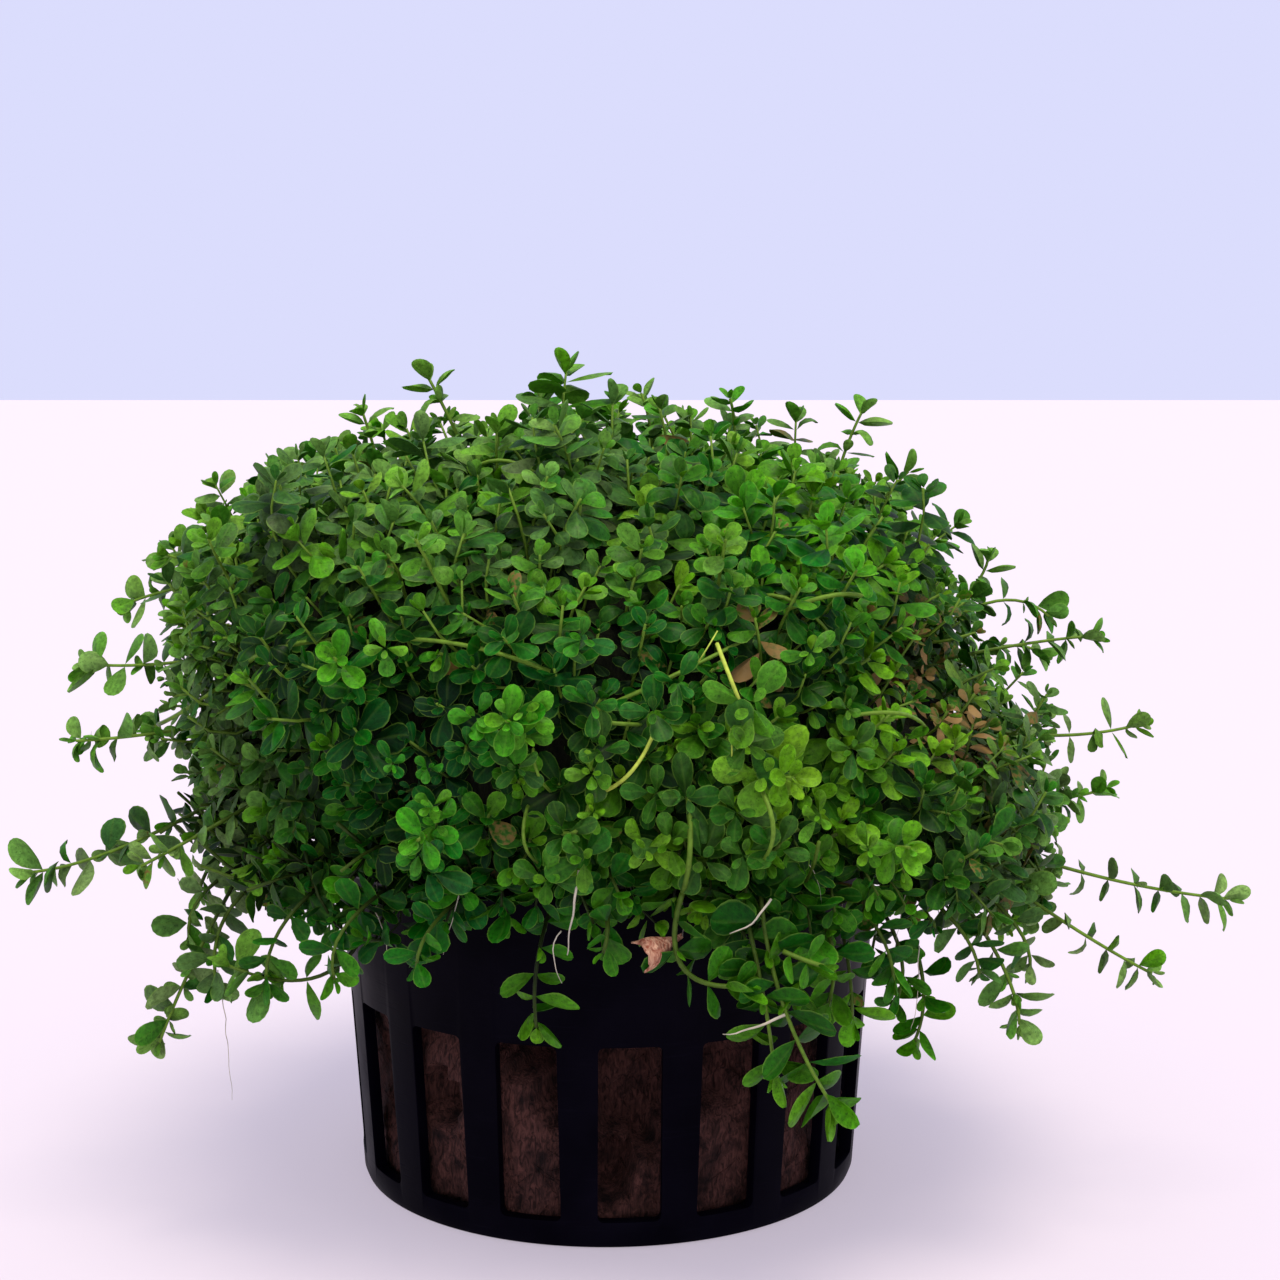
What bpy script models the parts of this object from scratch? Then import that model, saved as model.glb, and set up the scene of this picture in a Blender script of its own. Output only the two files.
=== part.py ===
"""A cushion of a small creeping water plant growing out of a slotted pot packed with mineral wool.

Metres, +Z up. The origin is the centre of the pot's underside, and -Y is the side that faces the viewer.
"""

import math
import random

import bmesh
import bpy
from mathutils import Matrix, Vector, noise
from mathutils.bvhtree import BVHTree

MM = 0.001
GAP = 0.3 * MM  # clearance between neighbouring pieces
SEED = 7

# Pot
POT_HEIGHT = 31.0 * MM
POT_BASE_RADIUS = 22.5 * MM
POT_TOP_RADIUS = 24.6 * MM
POT_WALL = 1.1 * MM
POT_FLOOR = 1.3 * MM
POT_FOOT_CHAMFER = 0.7 * MM
LIP_RADIUS = 26.6 * MM
LIP_DEPTH = 1.1 * MM
POT_SIDES = 60

SLOT_COUNT = 17
SLOT_WIDTH = 5.3 * MM
SLOT_BOTTOM = 2.4 * MM
SLOT_TOP = 17.6 * MM
SLOT_REACH = 8.0 * MM  # radial depth of a slot's cutter
SLOT_PHASE = math.radians(5.2)  # of the first slot, from the front

# Wool plug
PLUG_TOP = 28.0 * MM
PLUG_SIDES = 30
PLUG_RINGS = 6
PLUG_HOLLOW = 2.2 * MM  # how far the wool falls short of the wall where it is most hollow
PLUG_LUMP = 9.0 * MM

# Leafy cushion: its outline at the front and behind, at the left and at the right, in mm.
# Each is its dome's greatest radius, the height of that, and the skirt under it as radius and height.
CUSHION_FRONT = (39.5, 43.0, ((39.2, 40.0), (38.2, 36.6), (36.6, 32.4), (34.2, 28.4), (31.4, 28.8)))
CUSHION_LEFT = (38.2, 50.0, ((37.6, 43.5), (36.2, 38.0), (34.0, 33.0), (32.6, 27.0), (30.8, 28.2)))
CUSHION_RIGHT = (32.0, 48.0, ((37.2, 43.5), (39.2, 36.0), (38.0, 27.5), (35.0, 25.0), (31.6, 27.8)))
SKIRT_INNER = (29.0, 31.6)  # radius and height of the skirt's inner edge, the same all round, in mm
CUSHION_TOP = 63.8 * MM
CUSHION_POWER = 2.45  # 2 would be an ellipse, and more is squarer
CUSHION_SIDES = 36
DOME_RINGS = 8
CROWN_RADIUS = 5.0 * MM  # of an extra ring near the top
BARE_RADIUS = 29.6 * MM  # the underside nearer the axis than this has no lumps and no leaves
DROOP_HEIGHT = 33.0 * MM  # leaves under this hang
NECK_RADIUS = 22.8 * MM
HEM_SIDES = 25.5  # lowest the skirt hangs at the sides and behind, and at the front, in mm
HEM_FRONT = 31.2
LUMP_SIZE = 11.0 * MM
LUMP_HEIGHT = 2.4 * MM
CRUMPLE = 0.9 * MM
TUFT_LENGTH = 4.6 * MM
CROWN_GROWTH = 0.3  # how much longer the tufts on the crown are than those at the sides, as a share
TUFT_WIDTH = 3.2 * MM
TUFT_THICKNESS = 0.7 * MM

# Stems and leaves
STEM_WIDTH = 0.6 * MM
TIP_SPACING = 1.8 * MM  # between a stem's last two pairs of leaves
NODE_SPACING = 3.2 * MM  # between the pairs further back
COLLAR = 0.6 * MM  # length of stem that a pair of leaves grows from
BUD = 1.0 * MM
LEAF_LENGTH = 3.6 * MM
LEAF_THICKNESS = 0.4 * MM
LEAF_WIDTH_SHARE = 0.62
LEAF_WIDEST = 0.56  # share of its length at which a leaf is widest
LEAF_LEAN = math.radians(40)  # of a leaf towards the tip of its stem
BARE_FOOT = 1.1 * MM  # length of stem without leaves where it leaves the cushion

# Each stem's route in mm, from inside the cushion over a bend to the tip, and its longest leaves in mm
STEMS = {
    "stem_left_far": (((-31, -8, 37), (-41, -12, 32), (-49, -14, 30)), 3.8),
    "stem_left_low": (((-30, -14, 32), (-34, -19, 24), (-37, -20, 17)), 3.4),
    "stem_left_level": (((-18, -27, 31), (-22, -28, 25), (-30, -27, 25.5)), 3.4),
    "stem_left_upper": (((-30, -5, 48), (-39, -7, 47), (-45.5, -7, 47)), 3.6),
    "stem_left_middle": (((-30, -11, 41), (-39, -14, 40), (-46, -15, 40)), 3.6),
    "stem_left_shoulder": (((-32, -1, 54), (-39, -1, 54), (-44, -1, 53)), 3.2),
    "stem_left_short": (((-27, -18, 38), (-33, -23, 35), (-37, -25, 33)), 3.2),
    "stem_top_tall": (((-10, -4, 60), (-13, -6, 67), (-15.5, -6, 72)), 3.4),
    "stem_top_left": (((-19, 0, 58), (-20.5, 0, 64), (-22, 0, 69)), 3.2),
    "stem_top_rosette": (((-5, -8, 60), (-5.5, -10, 66), (-5.5, -10, 70)), 3.8),
    "stem_top_middle": (((4, 4, 60), (4, 4, 66), (3, 4, 70.5)), 3.2),
    "stem_top_right": (((11, 2, 60), (11.5, 2, 66), (11, 1, 70)), 3.0),
    "stem_top_far_right": (((20, 5, 58), (21.5, 6, 64), (23.5, 6, 69)), 3.2),
    "stem_top_back": (((-27, 12, 54), (-30, 13, 59), (-31.5, 14, 63)), 3.8),
    "stem_right_crown": (((20, 0, 54), (24, 0, 60), (27, 0, 63.5)), 3.4),
    "stem_right_shoulder": (((25, 12, 49), (29.5, 15, 54), (32, 16, 57)), 3.2),
    "stem_right_upper": (((26, 4, 47), (32.5, 4, 51.5), (35, 4, 55.5)), 3.2),
    "stem_right_arch": (((25, -8, 47), (32.5, -9.5, 52.5), (38, -10, 51.5)), 3.2),
    "stem_right_high": (((27, -2, 46), (36, -2.5, 48), (43.5, -3, 49)), 3.2),
    "stem_right_loose": (((29, 6, 43), (36, 8, 46.5), (41, 8, 46)), 3.0),
    "stem_right_behind": (((27, 14, 43), (33, 17, 49), (36.5, 18, 51)), 3.0),
    "stem_right_middle": (((32, -5, 41), (40, -6, 40.5), (47, -6, 41.5)), 3.2),
    "stem_right_short": (((32, -2, 35), (39, -2, 34), (45, -2, 35)), 3.2),
    "stem_right_far": (((31, -7, 32), (43, -9, 28.5), (54.5, -9, 26.5)), 3.4),
    "stem_right_low": (((30, -14, 32), (39, -16, 26), (46, -17, 22)), 3.0),
    "stem_right_hanging": (((28, -21, 31), (32, -24, 25), (33.5, -25, 20)), 3.8),
    "stem_right_inner": (((23.5, -25, 30), (25.5, -26, 24), (25, -25, 18.5)), 3.4),
    "stem_front_long": (((12, -32, 32), (14, -37, 25), (18.5, -36, 16)), 4.0),
    "stem_front_middle": (((7, -32, 31), (8.5, -37, 28), (9.5, -38, 23)), 3.6),
    "stem_front_left": (((-4, -31, 31), (-5, -34, 27), (-5, -34, 22.5)), 3.2),
    "stem_front_right": (((18, -28, 31), (20, -31, 26), (21, -31, 20)), 3.6),
}

# Stems behind: how they are spread round from the right, and where they start and end
BACK_STEMS = 9
BACK_FIRST = math.radians(26)
BACK_LAST = math.radians(154)
BACK_ROOT = (32.0, 35.0)  # distance from the axis and height in mm
BACK_TIP = (45.0, 33.0)
BACK_RISE = 2.5  # of the bend over the straight line, in mm
BACK_STAGGER = 9.0  # how much higher every other one grows, in mm

# Bright tips just off the front: azimuth from the front in degrees, height and longest leaves in mm
ROSETTES = {
    "rosette_front_1": (-9, 47, 3.4),
    "rosette_front_2": (-20, 57, 3.0),
    "rosette_front_3": (-28, 50, 3.2),
    "rosette_front_4": (18.5, 42.5, 4.2),
    "rosette_front_5": (33, 36.5, 3.2),
    "rosette_front_6": (-18, 38.5, 3.2),
    "rosette_front_7": (15, 57, 3.0),
}
ROSETTE_STEM = 4.6 * MM

# Withered leaf that hangs at the front under the cushion's hem
WITHERED_MIDDLE = (3.8, -35.6, 29.3)  # in mm
WITHERED_LENGTH = 3.6 * MM
WITHERED_WIDTH = 2.2 * MM
WITHERED_CURL = 0.8 * MM
WITHERED_THICKNESS = 0.35 * MM

# Colours, linear
PLASTIC = (0.008, 0.008, 0.018)
WOOL = (0.12, 0.05, 0.03)
FOLIAGE = (0.02, 0.12, 0.012)
SHOOT = (0.07, 0.28, 0.02)
WITHERED = (0.30, 0.12, 0.08)


def clear_scene():
    for item in list(bpy.data.objects):
        bpy.data.objects.remove(item, do_unlink=True)


def make_collection(name):
    collection = bpy.data.collections.new(name)
    bpy.context.scene.collection.children.link(collection)
    return collection


def make_material(name, colour, roughness):
    made = bpy.data.materials.new(name)
    made.use_nodes = True
    shader = made.node_tree.nodes["Principled BSDF"]
    shader.inputs["Base Color"].default_value = (*colour, 1.0)
    shader.inputs["Roughness"].default_value = roughness
    shader.inputs["Metallic"].default_value = 0.0
    made.diffuse_color = (*colour, 1.0)
    return made


def add_piece(name, shape, collection, surface):
    """Object made from a bmesh, which is freed."""
    mesh = bpy.data.meshes.new(name)
    shape.to_mesh(mesh)
    shape.free()
    if surface:
        mesh.materials.append(surface)
    piece = bpy.data.objects.new(name, mesh)
    collection.objects.link(piece)
    return piece


def turned(outline, sides):
    """Bmesh of the solid that an outline sweeps when it is turned about Z.

    The outline starts and ends on the axis and runs down the solid's outer side, top to bottom.
    """
    line = bpy.data.meshes.new("outline")
    steps = range(len(outline) - 1)
    line.from_pydata([(radius, 0, height) for radius, height in outline], [(i, i + 1) for i in steps], [])
    guide = bpy.data.objects.new("outline", line)
    bpy.context.scene.collection.objects.link(guide)
    screw = guide.modifiers.new("turn", "SCREW")
    screw.angle = math.tau
    screw.steps = sides
    screw.render_steps = sides
    screw.use_merge_vertices = True
    screw.merge_threshold = 0.00001
    depsgraph = bpy.context.evaluated_depsgraph_get()
    mesh = bpy.data.meshes.new_from_object(guide.evaluated_get(depsgraph))
    bpy.data.objects.remove(guide, do_unlink=True)
    shape = bmesh.new()
    shape.from_mesh(mesh)
    bmesh.ops.remove_doubles(shape, verts=shape.verts, dist=0.00001)
    bmesh.ops.recalc_face_normals(shape, faces=shape.faces)
    return shape


def wall_radius(height):
    """Outer radius of the pot's tapered wall at a height."""
    return POT_BASE_RADIUS + (POT_TOP_RADIUS - POT_BASE_RADIUS) * height / POT_HEIGHT


def make_slot_cutters(collection):
    """Upright boxes through the wall, joined in one cutter."""
    shape = bmesh.new()
    middle = Vector((0, -POT_BASE_RADIUS, (SLOT_TOP + SLOT_BOTTOM) / 2))
    for index in range(SLOT_COUNT):
        box = bmesh.ops.create_cube(shape, size=1.0)["verts"]
        bmesh.ops.scale(shape, verts=box, vec=(SLOT_WIDTH, SLOT_REACH, SLOT_TOP - SLOT_BOTTOM))
        bmesh.ops.translate(shape, verts=box, vec=middle)
        turn = Matrix.Rotation(SLOT_PHASE + index * math.tau / SLOT_COUNT, 3, "Z")
        bmesh.ops.rotate(shape, verts=box, cent=(0, 0, 0), matrix=turn)
    cutters = add_piece("slot_cutters", shape, collection, None)
    cutters.hide_render = True
    cutters.display_type = "WIRE"
    return cutters


def make_pot(collection, cutters):
    """Tapered cup with a floor and a turned-out lip, cut by its upright slots."""
    lip_bottom = POT_HEIGHT - LIP_DEPTH
    outline = (
        (0, POT_FLOOR),
        (wall_radius(POT_FLOOR) - POT_WALL, POT_FLOOR),
        (POT_TOP_RADIUS - POT_WALL, POT_HEIGHT),
        (LIP_RADIUS, POT_HEIGHT),
        (LIP_RADIUS, lip_bottom),
        (wall_radius(lip_bottom), lip_bottom),
        (wall_radius(POT_FOOT_CHAMFER), POT_FOOT_CHAMFER),
        (POT_BASE_RADIUS - POT_FOOT_CHAMFER, 0),
        (0, 0),
    )
    # The inner side runs up, so the outline is walked from the underside's centre round to the floor's.
    shape = turned(outline, POT_SIDES)
    pot = add_piece("net_pot", shape, collection, make_material("moulded_plastic", PLASTIC, 0.35))
    pot.data.shade_smooth()
    pot.data.set_sharp_from_angle(angle=math.radians(30))
    cut = pot.modifiers.new("slots", "BOOLEAN")
    cut.operation = "DIFFERENCE"
    cut.solver = "EXACT"
    cut.object = cutters
    return pot


def lump(point, size):
    """Smooth noise from -1 to 1 with features about as wide as size."""
    return noise.noise(Vector(point) / size)


def make_wool(collection):
    """Block of wool that fills the pot, with a side that falls short of the wall here and there."""
    bottom = POT_FLOOR + GAP
    outline = [(0, PLUG_TOP)]
    for ring in range(PLUG_RINGS + 1):
        height = PLUG_TOP + (bottom - PLUG_TOP) * ring / PLUG_RINGS
        outline.append((wall_radius(height) - POT_WALL - GAP, height))
    outline.append((0, bottom))
    shape = turned(outline, PLUG_SIDES)
    for vert in shape.verts:
        side = Vector((vert.co.x, vert.co.y, 0))
        if side.length > PLUG_HOLLOW:
            hollow = PLUG_HOLLOW * max(0.0, 0.35 + lump(vert.co, PLUG_LUMP))
            vert.co -= side.normalized() * hollow
    return add_piece("wool_plug", shape, collection, make_material("mineral_wool", WOOL, 0.95))


def cushion_outline(radius, waist, skirt):
    """Half section of the cushion: a squarish dome, its skirt, and the neck that fills the pot's mouth."""
    rise = CUSHION_TOP - waist * MM
    outline = [(0, CUSHION_TOP), (CROWN_RADIUS, CUSHION_TOP)]
    for ring in range(1, DOME_RINGS + 1):
        turn = math.radians(90) * (1 - ring / DOME_RINGS)
        across = max(0.0, math.cos(turn)) ** (2 / CUSHION_POWER)
        up = max(0.0, math.sin(turn)) ** (2 / CUSHION_POWER)
        outline.append((radius * MM * across, waist * MM + rise * up))
    outline += [(out * MM, height * MM) for out, height in (*skirt, SKIRT_INNER)]
    outline.append((NECK_RADIUS, POT_HEIGHT + 2 * GAP))
    outline.append((NECK_RADIUS, PLUG_TOP + GAP))
    outline.append((0, PLUG_TOP + GAP))
    return outline


def reach_sides(shape):
    """Moves each ring of a shape turned from the front outline to the left and right outlines."""
    front, left, right = (cushion_outline(*side) for side in (CUSHION_FRONT, CUSHION_LEFT, CUSHION_RIGHT))
    for vert in shape.verts:
        outward = Vector((vert.co.x, vert.co.y, 0))
        place = Vector((outward.length, vert.co.z))
        ring = min(range(len(front)), key=lambda index: (Vector(front[index]) - place).length)
        if outward.length < GAP:
            continue
        outward.normalize()
        side = Vector((left if outward.x < 0 else right)[ring])
        radius, height = Vector(front[ring]).lerp(side, outward.x**2)
        vert.co = outward * radius + Vector((0, 0, height))


def make_cushion_body():
    """Bmesh of the cushion without its leaves: turned, hemmed, and made lumpy outside the pot's mouth."""
    chance = random.Random(SEED)
    shape = turned(cushion_outline(*CUSHION_FRONT), CUSHION_SIDES)
    reach_sides(shape)
    shape.normal_update()
    moves = {}
    for vert in shape.verts:
        if vert.co.xy.length < BARE_RADIUS and vert.co.z < CUSHION_FRONT[1] * MM:
            continue
        rough = LUMP_HEIGHT * lump(vert.co, LUMP_SIZE) + CRUMPLE * chance.uniform(-1, 1)
        moves[vert] = vert.normal * rough
    for vert, move in moves.items():
        vert.co += move
        frontness = max(0.0, -vert.co.y / max(vert.co.xy.length, MM))
        hem = HEM_SIDES + (HEM_FRONT - HEM_SIDES) * frontness**2
        vert.co.z = max(vert.co.z, hem * MM)
    return shape


def grow_leaf(shape, face, out, across, size):
    """Draws a face out into a leaf along out: first its widest section, then its point.

    size is the leaf's length, width and thickness.
    """
    length, width, thickness = size
    start = face.calc_center_median()
    thin = out.cross(across).normalized()
    section = bmesh.ops.extrude_discrete_faces(shape, faces=[face])["faces"][0]
    middle = start + out * length * LEAF_WIDEST
    for vert in section.verts:
        offset = vert.co - start
        vert.co = middle + across * math.copysign(width / 2, offset.dot(across))
        vert.co += thin * math.copysign(thickness / 2, offset.dot(thin))
    point = bmesh.ops.poke(shape, faces=[section])["verts"][0]
    point.co = start + out * length


def frame_along(tangent, reference):
    """Two directions square to a tangent and to each other."""
    across = tangent.cross(reference).normalized()
    return across, tangent.cross(across).normalized()


class Route:
    """A smooth curve through three points, read by its length."""

    STEPS = 60

    def __init__(self, points):
        first, bend, last = (Vector(point) for point in points)
        control = bend * 2 - (first + last) / 2  # so that the curve runs through the bend
        self.points = []
        for step in range(self.STEPS + 1):
            t = step / self.STEPS
            self.points.append(first * (1 - t) ** 2 + control * 2 * t * (1 - t) + last * t**2)
        self.marks = [0.0]
        for here, there in zip(self.points, self.points[1:]):
            self.marks.append(self.marks[-1] + (there - here).length)
        self.length = self.marks[-1]
        whole = last - first
        self.reference = Vector((0, 1, 0)) if abs(whole.z) > 0.7 * whole.length else Vector((0, 0, 1))

    def at(self, distance):
        """Place and direction at a distance from the start."""
        for index in range(self.STEPS):
            if self.marks[index + 1] >= distance or index == self.STEPS - 1:
                here, there = self.points[index], self.points[index + 1]
                step = self.marks[index + 1] - self.marks[index]
                share = (distance - self.marks[index]) / step
                return here.lerp(there, share), (there - here).normalized()

    def clear_of(self, surface, clearance):
        """Distance from the start at which the last stretch inside a surface, or near it, ends."""
        for index in range(self.STEPS, -1, -1):
            place = self.points[index]
            near, normal, _, away = surface.find_nearest(place)
            if away < clearance or (place - near).dot(normal) < 0:
                return self.marks[min(index + 1, self.STEPS)]
        return 0.0


def leaf_nodes(route, start):
    """Distances along a route of the pairs of leaves, from the tip back."""
    nodes = []
    place = route.length - COLLAR
    spacing = TIP_SPACING
    while place > start + BARE_FOOT:
        nodes.append(place)
        place -= spacing
        spacing = min(NODE_SPACING, spacing * 1.4)
    return nodes


def move_section(face, old, new):
    """Carries a square section of a stem from one place and frame to the next."""
    half = STEM_WIDTH / 2
    old_place, old_across, old_up = old
    place, across, up = new
    for vert in face.verts:
        offset = vert.co - old_place
        vert.co = place + across * math.copysign(half, offset.dot(old_across))
        vert.co += up * math.copysign(half, offset.dot(old_up))


def grow_stem(route, start, longest):
    """Bmesh of one stem from a start along its route, with opposite pairs of leaves, turned by turns."""
    nodes = leaf_nodes(route, start)
    stops = [start]
    for node in reversed(nodes):
        stops += [node - COLLAR / 2, node + COLLAR / 2]
    frames = []
    for stop in stops:
        place, tangent = route.at(stop)
        frames.append((place, *frame_along(tangent, route.reference)))
    shape = bmesh.new()
    bmesh.ops.create_cube(shape, size=STEM_WIDTH)
    flat = (Vector(), Vector((1, 0, 0)), Vector((0, 1, 0)))
    root = next(face for face in shape.faces if face.normal.z < -0.5)
    tip = next(face for face in shape.faces if face.normal.z > 0.5)
    move_section(root, flat, frames[0])
    move_section(tip, flat, frames[1])
    collars = []
    for index in range(1, len(frames) - 1):
        tip = bmesh.ops.extrude_discrete_faces(shape, faces=[tip])["faces"][0]
        move_section(tip, frames[index], frames[index + 1])
        if index % 2:
            sides = [face for edge in tip.edges for face in edge.link_faces if face is not tip]
            collars.append((sides, frames[index]))
    bud = bmesh.ops.poke(shape, faces=[tip])["verts"][0]
    bud.co += route.at(route.length)[1] * BUD
    shape.normal_update()
    for index, (sides, (_, across, up)) in enumerate(reversed(collars)):
        outward = (across, up)[index % 2]
        age = min(1.0, 0.72 + 0.14 * index)
        forward = across.cross(up)
        for face in sides:
            side = face.normal.copy()
            if abs(side.dot(outward)) < 0.7:
                continue
            out = (side * math.cos(LEAF_LEAN) + forward * math.sin(LEAF_LEAN)).normalized()
            size = (longest * age, longest * age * LEAF_WIDTH_SHARE, LEAF_THICKNESS)
            grow_leaf(shape, face, out, side.cross(forward).normalized(), size)
    return shape


def back_routes():
    """Routes of the stems behind, evenly spread and by turns higher and lower."""
    routes = []
    for index in range(BACK_STEMS):
        azimuth = BACK_FIRST + (BACK_LAST - BACK_FIRST) * index / (BACK_STEMS - 1)
        lift = BACK_STAGGER * (index % 2)
        ends = []
        for radius, height in (BACK_ROOT, BACK_TIP):
            ends.append(Vector((radius * math.cos(azimuth), radius * math.sin(azimuth), height + lift)))
        bend = (ends[0] + ends[1]) / 2 + Vector((0, 0, BACK_RISE))
        routes.append([point * MM for point in (ends[0], bend, ends[1])])
    return routes


def surface_point(surface, azimuth, height):
    """Where a level line from the axis leaves the cushion, and the direction outward there."""
    outward = Vector((math.sin(azimuth), -math.cos(azimuth), 0))
    start = Vector((0, 0, height)) + outward * 2 * CUSHION_FRONT[0] * MM
    place, normal, _, _ = surface.ray_cast(start, -outward)
    return place, normal


def stem_routes(surface):
    """Name, route and longest leaf of every stem, in metres."""
    routes = []
    for name, (points, longest) in STEMS.items():
        routes.append((name, [Vector(point) * MM for point in points], longest * MM))
    for index, points in enumerate(back_routes()):
        routes.append((f"stem_back_{index + 1}", points, LEAF_LENGTH))
    for name, (azimuth, height, longest) in ROSETTES.items():
        place, normal = surface_point(surface, math.radians(azimuth), height * MM)
        points = (place - normal * BUD, place + normal * ROSETTE_STEM / 2, place + normal * ROSETTE_STEM)
        routes.append((name, points, longest * MM))
    return routes


def make_stems(collection, surface):
    """All stems that stand clear of the cushion, each one piece with its leaves."""
    shoot = make_material("young_shoot", SHOOT, 0.45)
    clearance = GAP + STEM_WIDTH * 0.75
    stems = []
    for name, points, longest in stem_routes(surface):
        route = Route(points)
        start = route.clear_of(surface, clearance)
        stems.append(add_piece(name, grow_stem(route, start, longest), collection, shoot))
    return stems


def make_withered_leaf(collection):
    """Small curled leaf just clear of the cushion's hem."""
    shape = bmesh.new()
    bmesh.ops.create_grid(shape, x_segments=4, y_segments=2, size=0.5)
    for vert in shape.verts:
        share = vert.co.x * 2
        vert.co.y *= WITHERED_WIDTH * (1 - 0.75 * share**2)
        vert.co.z = WITHERED_CURL * (share**2 - 0.5) + 0.4 * WITHERED_CURL * share
        vert.co.x *= WITHERED_LENGTH
    turn = Matrix.Rotation(math.radians(90), 3, "X") @ Matrix.Rotation(math.radians(-12), 3, "Z")
    bmesh.ops.rotate(shape, verts=shape.verts, cent=(0, 0, 0), matrix=turn)
    bmesh.ops.translate(shape, verts=shape.verts, vec=Vector(WITHERED_MIDDLE) * MM)
    leaf = add_piece("withered_leaf", shape, collection, make_material("withered_leaf", WITHERED, 0.8))
    solid = leaf.modifiers.new("thickness", "SOLIDIFY")
    solid.thickness = WITHERED_THICKNESS
    solid.offset = 0.0
    return leaf


def surface_of(pieces):
    """Search tree over the finished faces of some pieces."""
    bpy.context.view_layer.update()
    depsgraph = bpy.context.evaluated_depsgraph_get()
    verts = []
    faces = []
    for piece in pieces:
        mesh = piece.evaluated_get(depsgraph).to_mesh()
        base = len(verts)
        verts += [vert.co.copy() for vert in mesh.vertices]
        faces += [[base + index for index in face.vertices] for face in mesh.polygons]
    return BVHTree.FromPolygons(verts, faces)


def nearest(surface, points):
    """Smallest distance from some points to a surface."""
    return min(surface.find_nearest(point)[3] for point in points)


def make_cushion(collection, shape, neighbours):
    """The cushion, with a tuft of leaves drawn out of every other face where no stem is in the way."""
    around = surface_of(neighbours)
    chance = random.Random(SEED)
    shape.normal_update()
    faces = [face for face in shape.faces if face.calc_center_median().xy.length > BARE_RADIUS]
    faces += [face for face in shape.faces if face.calc_center_median().z > CUSHION_FRONT[1] * MM]
    faces = [face for face in dict.fromkeys(faces) if len(face.verts) == 4 and face.normal.z > -0.5]
    chance.shuffle(faces)
    taken = set()
    tufts = []
    for face in faces:
        if not taken.intersection(face.edges):
            taken.update(face.edges)
            tufts.append(face)
    for face in tufts:
        place, normal = face.calc_center_median(), face.normal.copy()
        side = normal.cross(Vector((0, 0, 1))).normalized()
        rise = side.cross(normal)
        droop = 1 if place.z < DROOP_HEIGHT else -1
        lean = side * chance.uniform(-0.5, 0.5) - rise * droop * chance.uniform(0.1, 0.7)
        out = (normal + lean).normalized()
        growth = chance.uniform(0.75, 1.15) * (1 + CROWN_GROWTH * max(0.0, normal.z))
        size = (TUFT_LENGTH * growth, TUFT_WIDTH * growth, TUFT_THICKNESS)
        reach = [place + out * size[0] * share for share in (0.3, 0.6, 0.8, 1.0)]
        flanks = [vert.co.lerp(reach[1], share) for vert in face.verts for share in (0.3, 0.6)]
        if nearest(around, reach) < size[1] / 2 + 2 * GAP or nearest(around, flanks) < 3 * GAP:
            continue
        grow_leaf(shape, face, out, out.cross(rise).normalized(), size)
    return add_piece("leafy_cushion", shape, collection, make_material("foliage", FOLIAGE, 0.5))


def main():
    clear_scene()
    plant = make_collection("potted_baby_tears")
    cutters = make_slot_cutters(make_collection("cutters"))
    pot = make_pot(plant, cutters)
    wool = make_wool(plant)
    body = make_cushion_body()
    surface = BVHTree.FromBMesh(body)
    stems = make_stems(plant, surface)
    withered = make_withered_leaf(plant)
    make_cushion(plant, body, [pot, wool, withered, *stems])


if __name__ == "__main__":
    main()
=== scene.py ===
"""The look of a potted cushion of dwarf baby tears: foliage, pot, wool, roots, studio and camera.

Lengths are in millimetres in the fields and tables below, and in metres in every mesh.
"""

import logging
import math
import random
from bisect import bisect_right
from collections import defaultdict
from dataclasses import dataclass, field, replace
from enum import Enum
from functools import partial
from itertools import accumulate, product
from typing import Any, Callable, Iterable, Sequence

import bmesh
import bpy
import numpy as np
from mathutils import Matrix, Vector, noise
from mathutils.bvhtree import BVHTree
from mathutils.kdtree import KDTree


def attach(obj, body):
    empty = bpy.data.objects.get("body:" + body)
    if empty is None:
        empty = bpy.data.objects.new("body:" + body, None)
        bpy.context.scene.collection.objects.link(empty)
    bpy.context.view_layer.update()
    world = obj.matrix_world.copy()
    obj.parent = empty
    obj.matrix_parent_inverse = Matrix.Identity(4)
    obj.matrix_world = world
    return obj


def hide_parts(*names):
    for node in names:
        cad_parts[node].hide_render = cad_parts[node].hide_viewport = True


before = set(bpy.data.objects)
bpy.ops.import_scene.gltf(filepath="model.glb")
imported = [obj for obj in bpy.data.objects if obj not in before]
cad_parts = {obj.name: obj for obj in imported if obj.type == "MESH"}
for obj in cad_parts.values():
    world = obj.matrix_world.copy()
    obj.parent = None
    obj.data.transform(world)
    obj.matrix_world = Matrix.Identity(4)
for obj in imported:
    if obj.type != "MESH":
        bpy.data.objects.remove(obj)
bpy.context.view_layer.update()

LOG = logging.getLogger("baby_tears")
MM = 0.001
VIEWPOINT = (2.9, -193.5, 71.0)  # where the plant is looked at from, in mm
READING_PLANE = -40.0  # y of the plane on which the places of the front leaves are read, in mm
UP = Vector((0.0, 0.0, 1.0))
BODY = "root"
NO_SHARP = 180.0  # degrees that no edge turns by, so that all of a mesh is smooth
MIX_COLOUR = 2  # the output of a Mix node that holds its colour
GROWTH = "growth"  # attribute of every leaf: age, warmth of its green, decay, and painted haze, the paling that bright light round the cushion's edge gives
LEAF_MAP = "leaf_map"  # UV map of every leaf: across and along
NEIGHBOURS = tuple(product((-1, 0, 1), repeat=3))  # steps from a cell to itself and to those round it


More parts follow.
